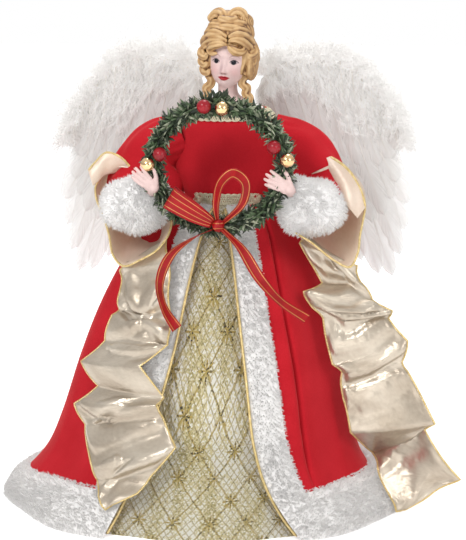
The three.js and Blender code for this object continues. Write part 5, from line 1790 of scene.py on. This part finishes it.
def facePaint(x, up, front):
    colour = Vector(head["skin"])
    eyeX, eyeUp = head["eyes"]

    def touch(tone, amount):
        nonlocal colour
        colour = colour.lerp(Vector(head[tone]), amount)

    for side in (-1, 1):
        touch("blush", 0.42 * bell(x - side * 9.0, up - 13.2, 3.4, 3.0) * front)
    touch("blush", 0.15 * bell(x, up - 12.0, 1.6, 1.4) * front)
    if front < 0.15:
        return colour
    for side in (-1, 1):
        dx, dy = (x - side * eyeX) * side, up - eyeUp
        white = (dx / 2.8) ** 2 + (dy / 1.6) ** 2
        touch("eyeWhite", 0.7 * ease((1.15 - white) / 0.4))
        shade = bell(dx - 0.3, dy - 2.4, 3.0, 0.9)
        touch("mauve", 0.42 * shade)
        lid = abs(dy - (1.75 - 0.16 * (dx - 0.2) ** 2)) - 0.30
        if -3.1 < dx < 3.8:
            touch("ink", 0.85 * ease(1 - lid / 0.25))
        lower = abs(dy + (1.55 - 0.15 * dx * dx)) - 0.1
        if abs(dx) < 2.8:
            touch("mauve", 0.45 * ease(1 - lower / 0.3))
        iris = math.hypot(dx + 0.1, dy - 0.05)
        touch("ink", ease((2.05 - iris) / 0.25))
        glint = math.hypot(dx + 0.7, dy - 0.8)
        touch("glint", 0.7 * ease((0.3 - glint) / 0.25))
        arch = abs(dy - (5.6 - 0.13 * (dx - 0.3) ** 2)) - 0.18 * (1 - max(0, dx) / 6)
        if -3.6 < dx < 4.6:
            touch("browPaint", 0.55 * ease(1 - arch / 0.45))
    upper = 8.1 + 1.5 * max(0.0, 1 - (abs(x) / 4.8) ** 1.6) - 0.45 * bell(x, 0, 0.7, 1)
    lower = 7.6 - 2.0 * max(0.0, 1 - (x / 4.2) ** 2)
    if abs(x) < 4.8:
        inside = min(upper - up, up - lower)
        touch("lips", ease((inside + 0.15) / 0.35))
        line = abs(up - 7.85 - 0.1 * math.cos(x * 1.4)) - 0.1
        touch("lipLine", 0.8 * ease(1 - line / 0.22) * ease((4.5 - abs(x)) / 0.5))
    # Painted shade in the nostrils
    for side in (-1, 1):
        touch("nostrilShade", 0.9 * bell(x - side * 1.3, up - 11.3, 0.75, 0.5))
    # A painted shade beside the nose and under the brow
    touch("mauve", 0.5 * bell(x + 2.1, up - 15.0, 0.9, 4.0))
    touch("mauve", 0.18 * bell(x - 1.9, up - 19.0, 0.6, 2.0))
    return colour


def makeHead(s):
    bm = bmesh.new()
    paint = bm.verts.layers.float_color.new("paint")
    width, depth = s["half"]

    def at(across, down):
        # The ring there, the angle round it, how far across and up that is, and how far it faces forward
        t = 2 * across - 1
        angle = math.pi * t * mix(0.36, 1, t * t)
        size = tableAt(headTable, 1 - down)
        return size, angle, size.x * width * math.sin(angle), size.z * s["tall"], max(0.0, math.cos(angle))

    def place(across, down):
        size, angle, x, height, front = at(across, down)
        forward = (1 - max(0, min(1, size.z))) ** 3 * depth * 0.35
        stand = 0.0
        for _name, bx, by, sx, sy, amount in s["bumps"]:
            for side in (-1, 1) if bx else (1,):
                stand += amount * bell(x - side * bx, height - by, sx, sy)
        ridge = ease((24.5 - height) / 11) * (1 if height > 12.2 else math.exp(-(((height - 12.2) / 1.1) ** 2)))
        tip = bell(x, height - 12.9, 1.5, 1.3)
        stand += 2.5 * ridge * math.exp(-((x / mix(1.1, 1.6, ease((20 - height) / 8))) ** 2)) + 1.3 * tip
        y = -size.y * depth * math.cos(angle) - forward - stand * front**2
        return tiltHead(Vector((x, y, height)))

    shares = shapedGrid(bm, s["rows"], s["columns"], place)
    for v, (across, down) in shares.items():
        v[paint] = (*facePaint(*at(across, down)[2:]), 1)

    def neck(across, down):
        p = splineAt([(a, b, c) for a, b, c, _d in s["plate"]], 1 - down)
        forward = splineAt([(d, 0, 0) for *_rest, d in s["plate"]], 1 - down).x
        angle = turn * across
        collar = 0.5 * bell(math.sin(angle), 0, 0.35, 1) * bell(p.x - 331, 0, 2, 1) * max(0, math.cos(angle))
        return Vector(((p.y + collar) * math.sin(angle), -(p.z + collar) * math.cos(angle) - forward, p.x))

    for v in shapedGrid(bm, 40, 64, neck):
        v[paint] = (*s["skin"], 1)
    finishPiece("faceAndShoulders", bm, "porcelain", "head_bust")


makeHead(head)
print("head made")

# Hair: moulded and painted locks over a grooved cap; each lock goes through points with a radius
hairLooks = {
    "light": (0.64, 0.42, 0.20),
    "middle": (0.46, 0.26, 0.10),
    "dark": (0.15, 0.062, 0.02),
    "cap": [(0, 2.1, 24.5, 21.0, 22.6, 20.8), (0, 3.0, 43.5, 17.4, 19.4, 13.6), (-5.5, 4.5, 52.5, 9.0, 12.0, 8.2),
            (6.5, 4.5, 52.0, 9.2, 12.0, 8.2), (-18.0, 3, 19, 4.6, 14.5, 13), (18.4, 3, 19, 4.6, 14.5, 13)],
    "voxel": 0.44,
    "blur": 5,
    "mid": 0.5,
    "contrast": 15.0,
    "locks": [
        [(1.6, -27, 376.1, 2), (-2.4, -27.5, 377.4, 3.4), (-8.1, -26, 376.2, 3.8), (-12.5, -22, 373, 3.6),
         (-11.5, -22, 369.8, 3), (-6.1, -25, 369.8, 2.4)],
        [(1.7, -26, 379.2, 2.2), (-3.9, -26, 381.2, 3.8), (-10.6, -22, 379.9, 4.2), (-16.4, -15, 375.7, 4),
         (-19.3, -11, 371.2, 3.6)],
        [(1.6, -24.5, 382.5, 2.4), (-4.8, -24, 385.1, 4), (-12.3, -19, 384, 4.4), (-17.5, -12, 379.3, 4.2),
         (-20.1, -8, 373.4, 3.6)],
        [(1.1, -22, 385.5, 2.6), (-6, -20, 387.8, 4), (-13.2, -15, 386.9, 4.2), (-17, -9, 382.9, 3.8)],
        [(2.1, -27, 376.1, 2), (4.6, -28, 373, 3), (8.5, -27, 370.8, 3.4), (12.7, -23, 371.1, 3.4),
         (14.3, -20, 373.8, 3.2), (11.4, -23, 375.9, 2.4)],
        [(2.3, -26, 378.9, 2.2), (8.7, -26, 380.3, 3.8), (14.4, -21, 377.9, 4.2), (18.7, -14, 373.5, 4),
         (20.5, -10, 369.2, 3.6)],
        [(2.1, -24.5, 382.2, 2.4), (9.3, -24, 384.4, 4), (15.2, -18, 382.2, 4.2), (19.5, -11, 377.6, 4.2),
         (21.1, -7, 372.5, 3.6)],
        [(1.9, -22, 385.5, 2.6), (9.5, -20, 387.6, 4), (14.9, -14, 386.2, 4.2), (17.9, -8, 382.2, 3.8)],
        [(-16.8, -14, 373.6, 3.2), (-20, -12, 371.5, 3.6), (-19.9, -15, 368.3, 3.8), (-16.1, -18, 366.9, 3.4),
         (-15, -19, 369.6, 2.4)],
        [(-15.3, -18, 366.1, 2.8), (-19.3, -13, 364.7, 3.8), (-19.6, -13, 361.4, 3.8), (-16.3, -17, 360.1, 3.4),
         (-14.8, -18, 362.9, 2.4)],
        [(-14.6, -17, 359.6, 2.8), (-18.6, -12, 357.9, 3.8), (-17.8, -12, 354.7, 3.8), (-14.6, -15, 354.1, 3.4),
         (-13.7, -16, 356.9, 2.4)],
        [(-13.1, -14, 354.3, 3), (-15, -11, 350.9, 3.8), (-12.3, -11, 347.7, 4), (-13.5, -10, 343.5, 3.8),
         (-16.5, -10, 340.3, 3.8), (-14.9, -9, 336.4, 3.6), (-17.4, -9, 332.9, 3.4), (-19.3, -9, 329.9, 2.6)],
        [(17.4, -15, 373.5, 3.2), (21.2, -12, 372.3, 3.9), (21.6, -14, 368.7, 3.9), (18.2, -18, 367.1, 3.4),
         (16.4, -19, 369.8, 2.4)],
        [(16.8, -18, 366.3, 2.8), (20.5, -13, 364.9, 4), (20.8, -13, 361.4, 3.9), (17.9, -17, 360.1, 3.5),
         (16.3, -18, 363.1, 2.4)],
        [(16.2, -17, 359.3, 2.8), (19.4, -12, 358.4, 3.9), (19.1, -12, 354.9, 3.9), (16.1, -15, 354.1, 3.4),
         (14.8, -16, 356.8, 2.4)],
        [(14.7, -14, 354.2, 3), (16.1, -11, 350.8, 3.8), (12.8, -11, 347.8, 4), (12.8, -11, 343.8, 3.9),
         (16.1, -11, 340.6, 3.9), (15.3, -11, 336.8, 3.9), (18.5, -11, 333.4, 3.8), (18.2, -10, 330.3, 3.4),
         (21.4, -10, 327.9, 2.6)],
        [(-14.5, -10, 385.1, 3.2), (-9, -17, 388.4, 4), (0.7, -20, 389.1, 4.2), (10.7, -18, 388.5, 4),
         (16.7, -10, 385.7, 3.2)],
        [(-14.4, -8, 389, 3.2), (-10.8, -14, 391.7, 4), (-5.5, -17, 392.4, 4), (0.8, -18, 391.1, 3.2)],
        [(15.5, -8, 389.6, 3.2), (12.5, -14, 392.1, 4), (7.4, -17, 392.4, 4), (1.6, -18, 391.1, 3.2)],
        [(-13.6, -8, 393.2, 3.4), (-12.1, -9, 397.3, 4.4), (-8.5, -10, 400.5, 4.8), (-3.8, -12, 400.1, 4.4),
         (-1.6, -15, 397.1, 3.8), (-4.8, -16, 394.7, 3.4), (-9.1, -15, 395.2, 2.8)],
        [(14.1, -8, 393.6, 3.4), (13.9, -9, 397.4, 4.4), (10.8, -10, 400.6, 4.8), (5.6, -12, 400.4, 4.4),
         (3.2, -15, 397.4, 3.8), (6.5, -16, 395, 3.4), (10.9, -15, 395.8, 2.8)],
        [(-6.9, -16, 397.6, 3.2), (-1.5, -17, 395.8, 4), (3.9, -17, 395.6, 4), (9.4, -16, 398, 3.2)],
    ],
    # how many, half width and half depth, how far back, middle and half height of the back's locks
    "backLocks": (9, 20.0, 21.2, 2.1, 24.5, 19.5),
}


def meltInto(name, bm, voxel, smooth=3):
    # Melts overlapping solids into one closed skin
    mesh = meshOf(name, bm)
    holder = addObject(name, mesh)
    melt = holder.modifiers.new("melt", "REMESH")
    melt.mode, melt.voxel_size = "VOXEL", voxel * mm
    soften = holder.modifiers.new("soften", "SMOOTH")
    soften.factor, soften.iterations = 0.5, smooth
    made = bpy.data.meshes.new_from_object(holder.evaluated_get(bpy.context.evaluated_depsgraph_get()))
    bpy.data.objects.remove(holder)
    bpy.data.meshes.remove(mesh)
    bm = bmesh.new()
    bm.from_mesh(made)
    bpy.data.meshes.remove(made)
    return bm


def hairPaint(groove):
    tone = Vector(hairLooks["dark"]).lerp(Vector(hairLooks["middle"]), ease(groove * 2.0))
    return tone.lerp(Vector(hairLooks["light"]), ease(groove * 1.8 - 0.8))


def lockInto(bm, points, grooves=5, twist=2.2):
    steps = len(points) * 7
    route, sizes = sizedRoute(points, steps)

    def taper(share):
        return sizes[round(share * steps)] * math.sin(math.pi * share) ** 0.28 if inside(share) else 0.0

    shares = threadInto(bm, route, 1.0, around=30, taper=taper)
    length = sum((b - a).length for a, b in zip(route, route[1:]))
    for v, (across, down) in shares.items():
        centre = route[round(down * steps)] * mm
        wave = math.cos(grooves * turn * across + twist * length * down / 9)
        lump = 0.12 * noise.noise(v.co * 160)
        v.co = centre + (v.co - centre) * (0.78 + 0.27 * (0.5 + 0.5 * wave) ** 0.6 + lump)


def makeHair(s):
    bm = bmesh.new()
    for x, y, up, w, d, h in s["cap"]:
        def place(across, down):
            polar, angle = math.pi * down, turn * across
            strand = 0.45 * math.cos(angle * 26 + 2.5 * math.sin(polar * 2)) * math.sin(polar)
            p = Vector((
                x + (w + strand) * math.sin(polar) * math.sin(angle),
                y - (d + strand) * math.sin(polar) * math.cos(angle),
                up + (h + strand) * math.cos(polar),
            ))
            # The cap stays behind the face
            if up < 30:
                p.y = max(p.y, mix(-13.5, -21.5, ease((p.z - 30) / 9)) + 0.5 * abs(p.x) / 8)
            return tiltHead(p)

        shapedGrid(bm, 60, 156, place)
    for points in s["locks"]:
        lockInto(bm, points)
    count, wide, deep, behind, middle, high = s["backLocks"]
    for k in range(count):
        angle = mix(0.30, 0.70, k / (count - 1)) * turn
        points = []
        for step in range(7):
            polar = mix(0.12, 0.80, step / 6) * math.pi
            sway = 0.10 * math.sin(step * 1.7 + k)
            p = Vector((
                wide * math.sin(polar) * math.sin(angle + sway),
                behind - deep * math.sin(polar) * math.cos(angle + sway),
                middle + high * math.cos(polar),
            ))
            p = tiltHead(p)
            points.append((p.x, p.y, p.z, mix(3.2, 4.2, math.sin(math.pi * step / 6))))
        lockInto(bm, points)
    bm = meltInto("mouldedHair", bm, s["voxel"], 5)
    paint = bm.verts.layers.float_color.new("paint")
    bm.normal_update()
    for v in bm.verts:
        v.co += v.normal * mm * 0.5 * noise.noise(v.co * 190)
    bm.normal_update()
    # Painted shade and highlight: darker in the grooves, lighter on the ridges
    around = {v: [e.other_vert(v) for e in v.link_edges] for v in bm.verts}
    hollow = {
        v: (sum((o.co for o in near), Vector()) / len(near) - v.co).dot(v.normal) / mm for v, near in around.items()
    }
    for _ in range(s["blur"]):
        hollow = {v: mix(hollow[v], sum(hollow[o] for o in near) / len(near), 0.6) for v, near in around.items()}
    for v in bm.verts:
        streak = 0.22 * noise.noise(v.co * 210)
        # Painted shade: the sides and the crown are left darker than the front and the back
        facing = 0.55 * (abs(v.normal.y) - 0.62)
        v[paint] = (*hairPaint(min(1, max(0, s["mid"] - s["contrast"] * hollow[v] + streak + facing))), 1)
    finishPiece("mouldedHair", bm, "hairPaint", "hair", merge=False)


makeHair(hairLooks)
print("hair made")

# Hands: palms and fingers modelled as tubes, then melted into one skin
handLooks = {
    "voxel": 0.42,
    "scale": 0.88,
    # the palm's place and half sizes, then each finger's route and radius: along the hand, across it towards the
    # thumb, and out of the palm
    "palm": (0, 0, 0, 8.2, 6.2, 3.3),
    "fingers": [
        [(5, -4.6, 0, 1.75), (10, -5.6, -0.8, 1.55), (14, -6.2, -2.0, 1.4), (16.6, -6.5, -3.4, 1.15)],
        [(6, -1.8, 0, 1.8), (12, -2.3, -0.8, 1.6), (17, -2.6, -2.2, 1.45), (19.6, -2.7, -3.8, 1.15)],
        [(6, 1.3, 0, 1.8), (12.5, 1.5, -0.6, 1.6), (17.6, 1.6, -1.9, 1.45), (20.2, 1.7, -3.4, 1.15)],
        [(5.5, 4.2, 0, 1.75), (11.5, 5.2, -0.3, 1.55), (16, 6.0, -1.2, 1.4), (18.2, 6.3, -2.6, 1.15)],
        [(-2, 4.4, 0, 2.1), (2.0, 8.2, -0.6, 1.8), (6.0, 11.0, -1.2, 1.6), (8.8, 12.0, -2.0, 1.2)],
    ],
    "wristRadii": (5.4, 4.4),
    "pointing": {"left": (-0.62, -0.3, 0.62), "right": (-0.86, 0.0, 0.45)},
    "spread": {"left": (0.85, 0.0, 0.5), "right": (0.45, 0.1, 0.86)},
    "skin": (0.74, 0.55, 0.52),
    "tips": (0.80, 0.42, 0.40),
}


def limbInto(bm, route, sizes, around, rings):
    # A finger or the wrist, with round ends
    last = len(route) - 1
    threadInto(bm, route, 1.0, around=around, taper=lambda share: sizes[round(share * last)])
    for k in (0, last):
        end = bmesh.ops.create_uvsphere(bm, u_segments=around, v_segments=rings, radius=sizes[k] * mm)["verts"]
        bmesh.ops.translate(bm, verts=end, vec=route[k] * mm)


def makeHands(s):
    for word, side in sides.items():
        palm, wrist = (onSide(side, arm[end]) for end in ("palm", "wrist"))
        pointing = Vector(s["pointing"][word]).normalized()
        spread = Vector(s["spread"][word])
        spread = (spread - pointing * spread.dot(pointing)).normalized()
        facing = pointing.cross(spread) * -side
        if facing.y > 0:
            facing = -facing

        def at(a, b, c):
            return palm + (pointing * a + spread * b + facing * c) * s["scale"]

        bm = bmesh.new()
        x, y, z, w, d, h = s["palm"]
        made = bmesh.ops.create_uvsphere(bm, u_segments=32, v_segments=20, radius=1.0)["verts"]
        for v in made:
            v.co = at(x + v.co.x * w, y + v.co.y * d, z + v.co.z * h) * mm
        for points in s["fingers"]:
            route, sizes = sizedRoute([(*at(*p[:3]), p[3]) for p in points], 16)
            limbInto(bm, route, [size * (1 + 0.05 * math.cos(k * 1.3)) for k, size in enumerate(sizes)], 12, 8)
        back = wrist.lerp(palm, -0.1)
        route = [back.lerp(at(-3, 0, 0), k / 10) for k in range(11)]
        limbInto(bm, route, [mix(*s["wristRadii"], k / 10) for k in range(11)], 16, 10)
        bm = meltInto(f"handSkin_{word}", bm, s["voxel"])
        paint = bm.verts.layers.float_color.new("paint")
        for v in bm.verts:
            reach = (v.co / mm - palm).dot(pointing)
            v[paint] = (*Vector(s["skin"]).lerp(Vector(s["tips"]), 0.35 * ease((reach - 12) / 7)), 1)
        finishPiece(f"handSkin_{word}", bm, "porcelain", f"hand_{word}", merge=False)


makeHands(handLooks)
print("hands made")

# The frame's own pieces that stay get better finishes
nodeLooks = {
    "tree_cone": "cardBrown",
    "body_form": "foamWhite",
    "neck_dowel": "woodPlain",
    "arm_wire_left": "steelWire",
    "arm_wire_right": "steelWire",
    "wing_wire_left": "steelWire",
    "wing_wire_right": "steelWire",
    "wing_bracket": "plasticWhite",
    "wing_backing_left": "feltWhite",
    "wing_backing_right": "feltWhite",
}


def finishNodes():
    for node, look in nodeLooks.items():
        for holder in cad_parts[node].material_slots:
            holder.material = looks[look]


finishNodes()
